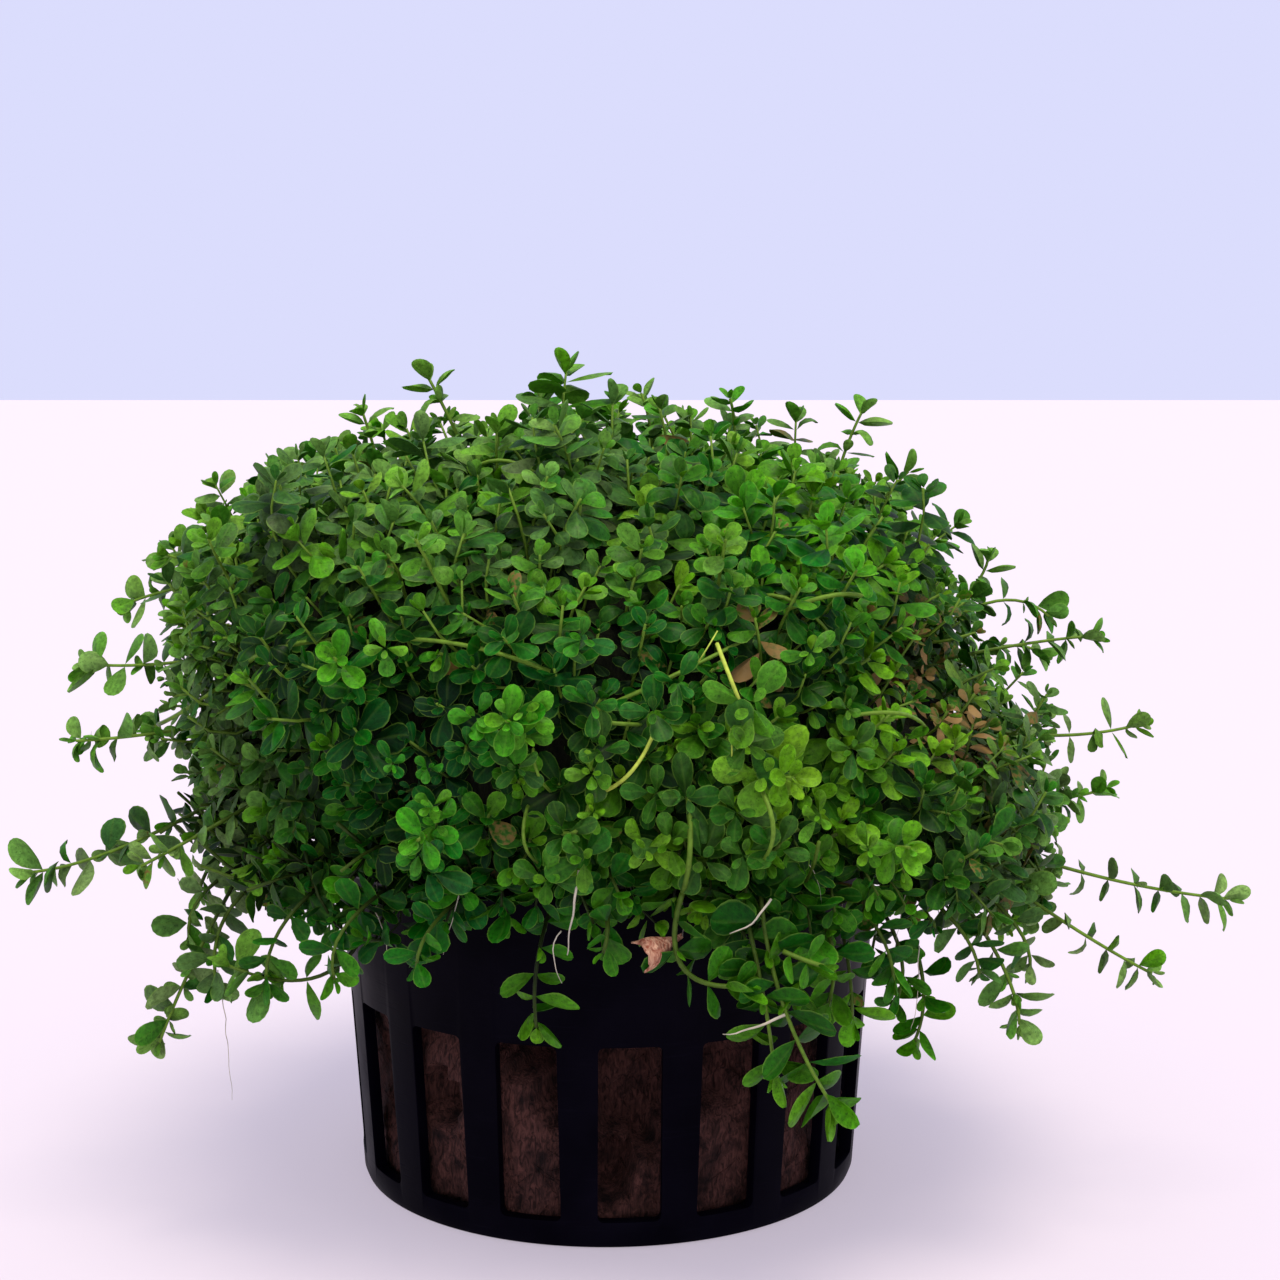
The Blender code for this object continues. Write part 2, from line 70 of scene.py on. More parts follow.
def linear(code: str) -> tuple[float, float, float, float]:
    """Turns an sRGB hex colour to linear light.

    Args:
        code: The colour as #rrggbb.

    Returns:
        Linear red, green and blue, with an alpha of 1.
    """
    parts = [int(code[place : place + 2], 16) / 255 for place in (1, 3, 5)]
    low, high = 12.92, 1.055
    light = [part / low if part <= 0.04045 else ((part + 0.055) / high) ** 2.4 for part in parts]
    return (*light, 1.0)


def smooth_step(value: float, low: float, high: float) -> float:
    """Rises smoothly from 0 at low to 1 at high."""
    share = min(1.0, max(0.0, (value - low) / (high - low)))
    return share * share * (3 - 2 * share)


def add_node(tree: bpy.types.NodeTree, kind: str, inputs: dict[Any, Any], **settings: Any) -> bpy.types.Node:
    """Adds a node with its settings and links.

    Args:
        tree: The tree that gets the node.
        kind: The node's Blender type without its prefix, ShaderNode.
        inputs: Input names or numbers, each with a value, an output socket or a node to link.
        settings: Attributes of the node. For a colour ramp, stops is a list of (place, colour).

    Returns:
        The new node.
    """
    made = tree.nodes.new(f"ShaderNode{kind}")
    stops = settings.pop("stops", None)
    for name, value in settings.items():
        setattr(made, name, value)
    for key, value in inputs.items():
        if isinstance(value, bpy.types.Node):
            value = value.outputs[MIX_COLOUR if value.bl_idname == "ShaderNodeMix" else 0]
        if isinstance(value, bpy.types.NodeSocket):
            tree.links.new(value, made.inputs[key])
        else:
            made.inputs[key].default_value = value
    if stops:
        ramp = made.color_ramp.elements
        while len(ramp) < len(stops):
            ramp.new(1.0)
        for element, (place, colour) in zip(ramp, stops):
            element.position = place
            element.color = colour
    return made


def blank_material(name: str) -> tuple[bpy.types.Material, Callable[..., bpy.types.Node]]:
    """Makes a material without nodes.

    Args:
        name: What the real material is called.

    Returns:
        The material, and add_node for its tree.
    """
    material = bpy.data.materials.new(name)
    material.use_nodes = True
    material.node_tree.nodes.clear()
    return material, partial(add_node, material.node_tree)


@dataclass(frozen=True)
class LeafTissue:
    """Thin, smooth, softly glossy leaf blades that let some light through."""

    young: str = "#6cb416"
    grown: str = "#26720e"
    # darker than an old blade's own green: the dark end of the age ramp also paints the shade on the oldest,
    # deepest pairs
    old_and_shaded: str = "#0b340a"
    rib: str = "#94c648"
    rot: str = "#7c6834"
    dead: str = "#a98a55"
    # painted haze: the pale grey-green that bright light round the crown and the sides washes over the
    # blades
    pale: str = "#9ab96e"
    blotch_mm: float = 0.4  # size of the blotches that groups of cells give a blade
    speck_mm: float = 0.16  # dots of algae and pores, drawn coarser than real so that they show
    vein_mm: float = 0.05  # how far the veins are sunk, drawn deeper than real so that they show
    hue_swing: float = 0.028
    roughness: float = 0.42
    water_ior: float = 1.23  # of a blade against the water that wets it, so that it hardly mirrors
    light_through: float = 0.34

    def make(self) -> bpy.types.Material:
        """Makes the leaf material from each leaf's age, warmth, decay and painted haze and from its own map.
        """
        material, node = blank_material("leaf_blade")
        growth = node("Attribute", {}, attribute_name=GROWTH)
        parts = node("SeparateColor", {0: growth.outputs["Color"]})
        age, warmth, decay = parts.outputs[0], parts.outputs[1], parts.outputs[2]
        ages = node(
            "ValToRGB",
            {0: age},
            stops=[(0.0, linear(self.young)), (0.45, linear(self.grown)), (1.0, linear(self.old_and_shaded))],
        )
        hue = node(
            "MapRange", {0: warmth, 1: 0.0, 2: 1.0, 3: 0.5 + self.hue_swing, 4: 0.5 - self.hue_swing}
        )
        green = node("HueSaturation", {"Hue": hue, "Color": ages})
        # painted haze: blades mixed towards the pale colour by the growth attribute's alpha
        hazed = node(
            "Mix", {0: growth.outputs["Alpha"], 6: green, 7: linear(self.pale)}, data_type="RGBA"
        )
        space = node("TexCoord", {})
        blotches = node(
            "TexNoise",
            {"Vector": space.outputs["Object"], "Scale": 1 / (self.blotch_mm * MM), "Detail": 3.0},
        )
        mottle = node("MapRange", {0: blotches, 1: 0.3, 2: 0.7, 3: 0.64, 4: 1.32})
        mottled = node("Mix", {0: 1.0, 6: hazed, 7: mottle}, data_type="RGBA", blend_type="MULTIPLY")
        blade = node("UVMap", {}, uv_map=LEAF_MAP)
        axes = node("SeparateXYZ", {0: blade})
        off_middle = node("Math", {0: axes.outputs[0], 1: 0.5}, operation="SUBTRACT")
        away = node("Math", {0: off_middle}, operation="ABSOLUTE")
        rib = node("MapRange", {0: away, 1: 0.02, 2: 0.09, 3: 1.0, 4: 0.0})
        slant = node("Math", {0: away, 1: -0.9, 2: axes.outputs[1]}, operation="MULTIPLY_ADD")
        waves = node("Math", {0: slant, 1: 40.0}, operation="MULTIPLY")
        side = node("Math", {0: waves}, operation="SINE")
        side_vein = node("MapRange", {0: side, 1: 0.75, 2: 1.0, 3: 0.0, 4: 0.25})
        veins = node("Math", {0: rib, 1: side_vein}, operation="MAXIMUM")
        vein_share = node("Math", {0: veins, 1: 0.09}, operation="MULTIPLY")
        veined = node("Mix", {0: vein_share, 6: mottled, 7: linear(self.rib)}, data_type="RGBA")
        # a thin pale margin along each blade's edge: partly the leaf's own colour, partly a painted
        # highlight on the edge
        margin_highlight_share = node("MapRange", {0: away, 1: 0.43, 2: 0.5, 3: 0.0, 4: 0.46})
        margin_highlighted = node("Mix", {0: margin_highlight_share, 6: veined, 7: linear(self.rib)}, data_type="RGBA")
        specks = node(
            "TexNoise",
            {"Vector": space.outputs["Object"], "Scale": 1 / (self.speck_mm * MM), "Detail": 2.0},
        )
        speck_share = node("MapRange", {0: specks, 1: 0.58, 2: 0.7, 3: 0.0, 4: 0.5})
        specked = node("Mix", {0: speck_share, 6: margin_highlighted, 7: linear(self.old_and_shaded)}, data_type="RGBA")
        # painted shade: each blade darkens towards its foot, where the blades above shade it
        foot = node("MapRange", {0: axes.outputs[1], 1: 0.0, 2: 0.75, 3: 0.62, 4: 1.06})
        foot_shaded = node("Mix", {0: 1.0, 6: specked, 7: foot}, data_type="RGBA", blend_type="MULTIPLY")
        rotten = node("MapRange", {0: decay, 1: 0.1, 2: 0.75, 3: 0.95, 4: 0.3})
        rot_share = node("MapRange", {0: blotches, 1: rotten, 2: 1.0, 3: 0.0, 4: 3.2})
        rot = node(
            "Mix", {0: rot_share, 6: foot_shaded, 7: linear(self.rot)}, data_type="RGBA", clamp_factor=True
        )
        dead_share = node("MapRange", {0: decay, 1: 0.7, 2: 1.0, 3: 0.0, 4: 0.9})
        colour = node("Mix", {0: dead_share, 6: rot, 7: linear(self.dead)}, data_type="RGBA")
        relief = node(
            "Bump", {"Height": veins, "Distance": self.vein_mm * MM, "Strength": 0.35}, invert=True
        )
        gloss = node(
            "MapRange", {0: blotches, 1: 0.3, 2: 0.7, 3: self.roughness - 0.06, 4: self.roughness + 0.1}
        )
        surface = node(
            "BsdfPrincipled",
            {"Base Color": colour, "Roughness": gloss, "Normal": relief, "IOR": self.water_ior},
        )
        through = node("BsdfTranslucent", {"Color": colour, "Normal": relief})
        both = node("MixShader", {0: self.light_through, 1: surface, 2: through})
        node("OutputMaterial", {0: both})
        return material


@dataclass(frozen=True)
class StemTissue:
    """Smooth round stems: pale yellow-green outside, darker and browner in the heart of the cushion, where
    the darkening is partly their age and partly painted shade.
    """

    name: str = "stem"
    fresh: str = "#64862a"
    # painted shade of stems deep in the cushion, a little browner for their age as well
    shaded: str = "#1a260a"
    heart_radius_mm: float = 35.0
    surface_radius_mm: float = 44.0
    roughness: float = 0.42

    def make(self) -> bpy.types.Material:
        """Makes the stem material, whose colour darkens with the distance from the cushion's middle as
        painted shade.
        """
        material, node = blank_material(self.name)
        space = node("TexCoord", {})
        centred = node(
            "Mapping",
            {0: space.outputs["Object"], "Location": (0.0, 0.0, -0.042), "Scale": (1.0, 1.0, 1.35)},
        )
        depth = node("VectorMath", {0: centred}, operation="LENGTH")
        share = node(
            "MapRange",
            {
                0: depth.outputs["Value"], 1: self.heart_radius_mm * MM, 2: self.surface_radius_mm * MM,
                3: 0.0, 4: 1.0,
            },
        )
        colour = node("Mix", {0: share, 6: linear(self.shaded), 7: linear(self.fresh)}, data_type="RGBA")
        grain = node(
            "TexNoise", {"Vector": space.outputs["Object"], "Scale": 1 / (0.5 * MM), "Detail": 3.0}
        )
        tone = node("MapRange", {0: grain, 1: 0.3, 2: 0.7, 3: 0.75, 4: 1.2})
        toned = node("Mix", {0: 1.0, 6: colour, 7: tone}, data_type="RGBA", blend_type="MULTIPLY")
        surface = node("BsdfPrincipled", {"Base Color": toned, "Roughness": self.roughness, "IOR": 1.2})
        node("OutputMaterial", {0: surface})
        return material


@dataclass(frozen=True)
class MouldedPlastic:
    """Blue-black injection-moulded polypropylene: satin, with a bloom and fine level scratches."""

    base: str = "#030208"
    bloom: str = "#0a0812"
    scratch_mm: float = 0.25  # spacing of the scratches, drawn coarser than real so that they show
    orange_peel_mm: float = 1.6
    roughness: float = 0.34

    def make(self) -> bpy.types.Material:
        """Makes the pot's plastic, with scratches that run round it."""
        material, node = blank_material("moulded_polypropylene")
        space = node("TexCoord", {})
        stretched = node("Mapping", {0: space.outputs["Object"], "Scale": (0.06, 0.06, 1.0)})
        scratches = node(
            "TexNoise", {"Vector": stretched, "Scale": 1 / (self.scratch_mm * MM), "Detail": 4.0}
        )
        marks = node("MapRange", {0: scratches, 1: 0.6, 2: 0.74, 3: 0.0, 4: 1.0})
        cloud = node(
            "TexNoise", {"Vector": space.outputs["Object"], "Scale": 1 / (7.0 * MM), "Detail": 5.0}
        )
        bloom = node("MapRange", {0: cloud, 1: 0.4, 2: 0.75, 3: 0.0, 4: 0.8})
        worn = node("Math", {0: marks, 1: 0.35, 2: bloom}, operation="MULTIPLY_ADD", use_clamp=True)
        colour = node("Mix", {0: worn, 6: linear(self.base), 7: linear(self.bloom)}, data_type="RGBA")
        gloss = node("MapRange", {0: worn, 1: 0.0, 2: 1.0, 3: self.roughness, 4: self.roughness + 0.22})
        peel = node(
            "TexNoise",
            {"Vector": space.outputs["Object"], "Scale": 1 / (self.orange_peel_mm * MM), "Detail": 2.0},
        )
        wavy = node("Bump", {"Height": peel, "Distance": 0.05 * MM, "Strength": 0.35})
        scored = node(
            "Bump", {"Height": marks, "Distance": 0.02 * MM, "Strength": 0.4, "Normal": wavy}, invert=True
        )
        surface = node(
            "BsdfPrincipled", {"Base Color": colour, "Roughness": gloss, "Normal": scored, "IOR": 1.07}
        )
        node("OutputMaterial", {0: surface})
        return material


@dataclass(frozen=True)
class FibrousMatter:
    """Matt fibrous matter, such as damp mineral wool or dead stems: short streaks, pores and no gloss."""

    name: str
    light: str
    dark: str
    pore: str
    fibre_mm: float = 0.35
    clump_mm: float = 3.0
    roughness: float = 0.95

    def make(self) -> bpy.types.Material:
        """Makes the material from a layer of stretched noise and a layer of pores."""
        material, node = blank_material(self.name)
        space = node("TexCoord", {})
        laid = node(
            "Mapping", {0: space.outputs["Object"], "Scale": (1.0, 1.0, 0.3), "Rotation": (0.5, 0.35, 0.0)}
        )
        fibres = node(
            "TexNoise",
            {"Vector": laid, "Scale": 1 / (self.fibre_mm * MM), "Detail": 6.0, "Distortion": 1.2},
        )
        clumps = node(
            "TexNoise",
            {"Vector": space.outputs["Object"], "Scale": 1 / (self.clump_mm * MM), "Detail": 4.0},
        )
        tone = node("MapRange", {0: fibres, 1: 0.35, 2: 0.65, 3: 0.0, 4: 1.0})
        colour = node("Mix", {0: tone, 6: linear(self.dark), 7: linear(self.light)}, data_type="RGBA")
        pores = node("MapRange", {0: clumps, 1: 0.3, 2: 0.5, 3: 0.85, 4: 0.0})
        pored = node("Mix", {0: pores, 6: colour, 7: linear(self.pore)}, data_type="RGBA")
        relief = node("Bump", {"Height": fibres, "Distance": 0.3 * MM, "Strength": 0.9})
        surface = node(
            "BsdfPrincipled",
            {"Base Color": pored, "Roughness": self.roughness, "Normal": relief, "Specular IOR Level": 0.2},
        )
        node("OutputMaterial", {0: surface})
        return material


@dataclass(frozen=True)
class RootTissue:
    """Thread-thin pale roots, half clear."""

    colour: str = "#e6dfc8"
    light_through: float = 0.35

    def make(self) -> bpy.types.Material:
        """Makes the root material."""
        material, node = blank_material("root_thread")
        space = node("TexCoord", {})
        spots = node(
            "TexNoise", {"Vector": space.outputs["Object"], "Scale": 1 / (1.1 * MM), "Detail": 3.0}
        )
        tone = node("MapRange", {0: spots, 1: 0.3, 2: 0.7, 3: 0.6, 4: 1.0})
        colour = node(
            "Mix", {0: 1.0, 6: linear(self.colour), 7: tone}, data_type="RGBA", blend_type="MULTIPLY"
        )
        surface = node("BsdfPrincipled", {"Base Color": colour, "Roughness": 0.4})
        through = node("BsdfTranslucent", {"Color": colour})
        both = node("MixShader", {0: self.light_through, 1: surface, 2: through})
        node("OutputMaterial", {0: both})
        return material


class LeafForm(Enum):
    """How a blade is shaped: rise of its edges, bend in radians, share of width, and foot taper."""

    CUPPED = (0.15, -0.45, 1.04, 0.85)
    FLAT = (-0.09, 0.45, 1.0, 0.95)
    DOMED = (-0.20, 0.9, 1.05, 0.88)
    RECURVED = (-0.16, 1.5, 0.95, 0.90)
    HOOKED = (-0.12, 2.6, 0.92, 0.95)
    NARROW = (-0.12, 1.0, 0.74, 1.0)

    @property
    def bend(self) -> float:
        """The blade's bend in radians."""
        return self.value[1]


@dataclass(frozen=True)
class LeafPattern:
    """One closed leaf blade of unit length, which runs along +Y from its foot and faces +Z."""

    rows: int = 6
    columns: int = 2
    width: float = 0.59
    thickness: float = 0.06
    stalk: float = 0.03  # least half width of the foot
    stalk_length: float = 0.16

    def half_width(self, along: float, taper: float) -> float:
        """Half the blade's width at a share of its length: a wedge foot, then a rounded tip.

        Args:
            along: The share of its length.
            taper: How long the wedge is.

        Returns:
            The half width as a share of its length.
        """
        widest = taper / (taper + 0.5)
        full = widest**taper * math.sqrt(1 - widest)
        blade = self.width / 2 * along**taper * math.sqrt(max(0.0, 1 - along)) / full
        return max(blade, self.stalk) if 0.0 < along < self.stalk_length else blade

    def sheet(self, shape: bmesh.types.BMesh, form: LeafForm, columns: int, below: bool) -> None:
        """Adds the blade's upper or lower skin.

        Args:
            shape: The bmesh that gets it.
            form: How the blade is shaped.
            columns: Faces from edge to edge.
            below: True for the lower skin.
        """
        rise, bend, wide, taper = form.value
        before = set(shape.faces)
        verts = bmesh.ops.create_grid(shape, x_segments=columns, y_segments=self.rows, size=0.5)["verts"]
        chart = shape.loops.layers.uv.verify()
        flat = {vert: (vert.co.x + 0.5, vert.co.y + 0.5) for vert in verts}
        for vert, (share, step) in flat.items():
            along = 1 - (1 - step) ** 1.7
            side = share * 2 - 1
            body = self.thickness * (1 - side**2) if below and 0.0 < step < 1.0 else 0.0
            lift = rise * side**2 * math.sin(math.pi * along) - body
            turn = bend * along
            spine = Vector((0.0, math.sin(turn), math.cos(turn) - 1)) / bend
            facing = Vector((0.0, math.sin(turn), math.cos(turn)))
            vert.co = spine + facing * lift
            vert.co.x = side * self.half_width(along, taper) * wide
        faces = [face for face in shape.faces if face not in before]
        for face in faces:
            for loop in face.loops:
                loop[chart].uv = flat[loop.vert]
        if below:
            bmesh.ops.reverse_faces(shape, faces=faces)

    def build(self, form: LeafForm) -> bpy.types.Mesh:
        """Makes the blade from two skins that are welded at its edge.

        Args:
            form: How the blade is shaped.

        Returns:
            A closed mesh with the leaf map, sharp along its edge.
        """
        shape = bmesh.new()
        self.sheet(shape, form, self.columns, below=False)
        self.sheet(shape, form, 2, below=True)
        bmesh.ops.remove_doubles(shape, verts=shape.verts, dist=1e-4)
        for edge in shape.edges:
            edge.smooth = edge.calc_face_angle(0.0) < math.radians(60)
        mesh = bpy.data.meshes.new(f"leaf_{form.name.lower()}")
        shape.to_mesh(mesh)
        shape.free()
        mesh.shade_smooth()
        return mesh


@dataclass
class Leaf:
    """One leaf: where its foot is in mm, which way it runs and faces, its size and its state."""

    foot: Vector
    along: Vector
    face: Vector
    length: float
    breadth: float
    form: LeafForm
    age: float
    warmth: float
    decay: float
    # painted haze of bright light at the cushion's edge
    painted_haze: float = 0.0
    deep: bool = False  # half hidden under other leaves, so of fewer faces

    def middle(self) -> Vector:
        """The place halfway along the leaf, in mm."""
        half = self.form.bend / 4
        run = self.along * math.cos(half) - self.face * math.sin(half)
        return self.foot + run.normalized() * self.length / 2

    def frame(self) -> list[tuple[float, ...]]:
        """The leaf's scaled axes and its foot, as the columns of a matrix, in metres."""
        along = self.along.normalized()
        across = along.cross(self.face).normalized()
        face = across.cross(along)
        size = self.length * MM
        columns = (across * size * self.breadth, along * size, face * size, self.foot * MM)
        return [column[:] for column in columns]


def column_of(owner: Any, name: str, width: int, kind: type) -> np.ndarray:
    """Reads one value of every item of a mesh's collection.

    Args:
        owner: The collection, such as a mesh's vertices.
        name: The value's name.
        width: How many numbers each value has.
        kind: The numbers' type.

    Returns:
        An array with a row for each item.
    """
    values = np.empty(len(owner) * width, dtype=kind)
    owner.foreach_get(name, values)
    return values.reshape(-1, width)


@dataclass
class LeafMaker:
    """Holds the blade of each form, and joins many leaves in one mesh."""

    pattern: LeafPattern
    deep_pattern: LeafPattern
    blades: dict[tuple[LeafForm, bool], bpy.types.Mesh] = field(default_factory=dict)

    def blade(self, form: LeafForm, deep: bool) -> bpy.types.Mesh:
        """The blade of a form, made when it is first asked for."""
        if (form, deep) not in self.blades:
            self.blades[form, deep] = (self.deep_pattern if deep else self.pattern).build(form)
        return self.blades[form, deep]

    def joined(self, name: str, leaves: Sequence[Leaf]) -> bpy.types.Mesh:
        """Copies each form's blade to the frames of its leaves.

        Args:
            name: The mesh's name.
            leaves: The leaves to join.

        Returns:
            One mesh with the leaf map and the growth attribute.
        """
        parts: dict[str, list[np.ndarray]] = defaultdict(list)
        points = rims = loops = 0
        for form, deep in product(LeafForm, (False, True)):
            chosen = [leaf for leaf in leaves if leaf.form is form and leaf.deep is deep]
            if not chosen:
                continue
            mesh = self.blade(form, deep)
            count = len(chosen)
            frames = np.array([leaf.frame() for leaf in chosen], dtype=np.float32)
            blade = column_of(mesh.vertices, "co", 3, np.float32)
            moved = np.einsum("vj,lji->lvi", blade, frames[:, :3]) + frames[:, None, 3]
            states = np.array([(leaf.age, leaf.warmth, leaf.decay, leaf.painted_haze) for leaf in chosen])
            turn = np.arange(count)[:, None, None]
            edge = column_of(mesh.edges, "vertices", 2, np.int32)
            corner = column_of(mesh.loops, "vertex_index", 1, np.int32)
            rim = column_of(mesh.loops, "edge_index", 1, np.int32)
            start = column_of(mesh.polygons, "loop_start", 1, np.int32)
            sharp = np.zeros(len(mesh.edges), dtype=bool)
            if "sharp_edge" in mesh.attributes:
                mesh.attributes["sharp_edge"].data.foreach_get("value", sharp)
            chart = column_of(mesh.uv_layers[0].data, "uv", 2, np.float32)
            parts["co"].append(moved.reshape(-1, 3))
            parts["growth"].append(np.repeat(states, len(blade), axis=0))
            parts["edge"].append((edge + turn * len(blade) + points).reshape(-1, 2))
            parts["sharp"].append(np.tile(sharp, count))
            parts["corner"].append((corner + turn * len(blade) + points).reshape(-1))
            parts["rim"].append((rim + turn * len(edge) + rims).reshape(-1))
            parts["start"].append((start + turn * len(corner) + loops).reshape(-1))
            parts["uv"].append(np.tile(chart, (count, 1)))
            points += len(blade) * count
            rims += len(edge) * count
            loops += len(corner) * count
        return self.mesh_from(name, {key: np.concatenate(value) for key, value in parts.items()})

    @staticmethod
    def mesh_from(name: str, arrays: dict[str, np.ndarray]) -> bpy.types.Mesh:
        """Fills a mesh with joined arrays.

        Args:
            name: The mesh's name.
            arrays: Places, edges, corners and attributes of all the copies.

        Returns:
            The mesh, shaded smooth between its sharp edges.
        """
        mesh = bpy.data.meshes.new(name)
        mesh.vertices.add(len(arrays["co"]))
        mesh.vertices.foreach_set("co", arrays["co"].astype(np.float32).ravel())
        mesh.edges.add(len(arrays["edge"]))
        mesh.edges.foreach_set("vertices", arrays["edge"].astype(np.int32).ravel())
        mesh.loops.add(len(arrays["corner"]))
        mesh.loops.foreach_set("vertex_index", arrays["corner"].astype(np.int32))
        mesh.loops.foreach_set("edge_index", arrays["rim"].astype(np.int32))
        mesh.polygons.add(len(arrays["start"]))
        mesh.polygons.foreach_set("loop_start", arrays["start"].astype(np.int32))
        mesh.update()
        sharp = mesh.attributes.new("sharp_edge", "BOOLEAN", "EDGE")
        sharp.data.foreach_set("value", arrays["sharp"])
        chart = mesh.uv_layers.new(name=LEAF_MAP)
        chart.data.foreach_set("uv", arrays["uv"].astype(np.float32).ravel())
        growth = mesh.attributes.new(GROWTH, "FLOAT_COLOR", "POINT")
        growth.data.foreach_set("color", arrays["growth"].astype(np.float32).ravel())
        mesh.update()
        return mesh


@dataclass
class Strand:
    """A round strand, such as a stem or a root: its points and its radius at each, in mm."""

    points: list[Vector]
    radii: list[float]


def strand_mesh(name: str, strands: Iterable[Strand], sides: int) -> bpy.types.Mesh:
    """Makes all the strands of a piece as one bevelled curve, and turns it to a mesh.

    Args:
        name: The mesh's name.
        strands: The strands.
        sides: Bevel resolution: 0 gives four sides, and each step more gives two.

    Returns:
        A mesh with closed ends, shaded smooth.
    """
    curve = bpy.data.curves.new(name, "CURVE")
    curve.dimensions = "3D"
    curve.bevel_depth = 1.0
    curve.bevel_resolution = sides
    curve.use_fill_caps = True
    for strand in strands:
        line = curve.splines.new("POLY")
        line.points.add(len(strand.points) - 1)
        places = [(*(point * MM), 1.0) for point in strand.points]
        line.points.foreach_set("co", np.array(places, dtype=np.float32).ravel())
        line.points.foreach_set("radius", [radius * MM for radius in strand.radii])
    guide = bpy.data.objects.new(name, curve)
    bpy.context.scene.collection.objects.link(guide)
    mesh = bpy.data.meshes.new_from_object(guide.evaluated_get(bpy.context.evaluated_depsgraph_get()))
    bpy.data.objects.remove(guide, do_unlink=True)
    shape = bmesh.new()
    shape.from_mesh(mesh)
    bmesh.ops.remove_doubles(shape, verts=shape.verts, dist=1e-6)
    shape.to_mesh(mesh)
    shape.free()
    mesh.shade_smooth()
    return mesh


def merged(name: str, meshes: Sequence[bpy.types.Mesh]) -> bpy.types.Mesh:
    """Joins meshes in one, with the faces of each on a material slot of their own.

    Args:
        name: The new mesh's name.
        meshes: The meshes, in the order of their material slots. They are removed.

    Returns:
        The joined mesh.
    """
    shape = bmesh.new()
    for number, mesh in enumerate(meshes):
        mesh.polygons.foreach_set("material_index", [number] * len(mesh.polygons))
        shape.from_mesh(mesh)
    joined = bpy.data.meshes.new(name)
    shape.to_mesh(joined)
    shape.free()
    for mesh in meshes:
        bpy.data.meshes.remove(mesh)
    return joined


def add_piece(
    name: str,
    mesh: bpy.types.Mesh,
    materials: Sequence[bpy.types.Material],
    stands_for: Sequence[str] = (),
) -> bpy.types.Object:
    """Puts a finished mesh in the scene, and lets it ride on the plant.

    Args:
        name: The piece's name.
        mesh: Its mesh, in place.
        materials: Its materials, in the order of its slots.
        stands_for: The CAD nodes that it replaces.

    Returns:
        The new object.
    """
    piece = bpy.data.objects.new(name, mesh)
    bpy.context.scene.collection.objects.link(piece)
    for material in materials:
        mesh.materials.append(material)
    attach(piece, BODY)
    if stands_for:
        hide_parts(*stands_for)
    triangles = sum(len(face.vertices) - 2 for face in mesh.polygons)
    LOG.info("%s: %d triangles", name, triangles)
    return piece


class Route:
    """A smooth curve through three points in mm, read by its length."""

    def __init__(self, *ends: Sequence[float], steps: int = 24) -> None:
        """Works out the points from the first, the bend and the last, and how far along each one is."""
        first, bend, last = (Vector(end) for end in ends)
        control = bend * 2 - (first + last) / 2
        self.points: list[Vector] = []
        for step in range(steps + 1):
            t = step / steps
            self.points.append(first * (1 - t) ** 2 + control * 2 * t * (1 - t) + last * t**2)
        self.marks = [0.0]
        for here, there in zip(self.points, self.points[1:]):
            self.marks.append(self.marks[-1] + (there - here).length)
        self.length = self.marks[-1]

    def at(self, distance: float) -> tuple[Vector, Vector]:
        """Place and direction at a distance from the start."""
        index = min(bisect_right(self.marks, distance), len(self.marks) - 1) - 1
        index = max(0, index)
        here, there = self.points[index], self.points[index + 1]
        share = (distance - self.marks[index]) / (self.marks[index + 1] - self.marks[index])
        return here.lerp(there, share), (there - here).normalized()


@dataclass(frozen=True)
class Vigour:
    """How leaves grow at a place: age, warmth, decay, a scale of size, and the painted haze that pales them
    where bright light bleeds round the cushion.
    """

    age: float
    warmth: float
    decay: float
    size: float
    painted_haze: float


@dataclass(frozen=True)
class Patch:
    """A region of the cushion that differs from the rest: its centre and reach in mm, and how."""

    centre: tuple[float, float, float]
    reach: float
    age: float = 0.0
    warmth: float = 0.0
    decay: float = 0.0
    size: float = 0.0
    painted_haze: float = 0.0


PATCHES = {
    "sunny_front": Patch((13, -39, 42), 11, age=-0.08, warmth=0.28, size=0.12),
    "front_hem": Patch((3, -38, 36), 11, age=-0.12, warmth=0.16, size=0.04),
    "cool_left_front": Patch((-16, -35, 43), 12, age=0.26, warmth=-0.34, size=0.0),
    "cool_centre": Patch((0, -37, 50), 8, age=0.22, warmth=-0.22),
    "small_left": Patch((-34, -16, 44), 12, age=0.04, warmth=0.10, size=-0.18),
    # painted light: the two hem patches are younger, so lighter, standing for light that the floor throws up
    # under the hem; the right one also has some real decay
    "bounce_lit_left_hem": Patch((-32, -20, 34), 11, age=-0.08, warmth=0.05, painted_haze=0.1),
    "bronzed_right": Patch((29, -20, 47.5), 7.5, age=0.1, warmth=0.75, decay=1.9, size=-0.25),
    "bounce_lit_right_hem": Patch((29, -24, 37), 10, age=-0.02, decay=0.10, size=-0.05),
    "brown_left": Patch((-27, -22, 44), 4, age=0.3, warmth=0.5, decay=0.9, size=-0.1),
    "grey_crown_left": Patch((-17, -14, 62), 12, age=-0.02, decay=0.10),
    "bright_crown_right": Patch((13, -20, 60), 12, age=-0.14, warmth=-0.05, size=0.1, painted_haze=-0.3),
    "dull_centre": Patch((-1, -39, 45), 5, age=0.24, warmth=0.30, decay=0.25),
    "tan_left": Patch((-13.5, -33, 46.5), 1.6, decay=1.4),
    "tan_right": Patch((12, -34, 53.6), 1.6, decay=1.4),
}


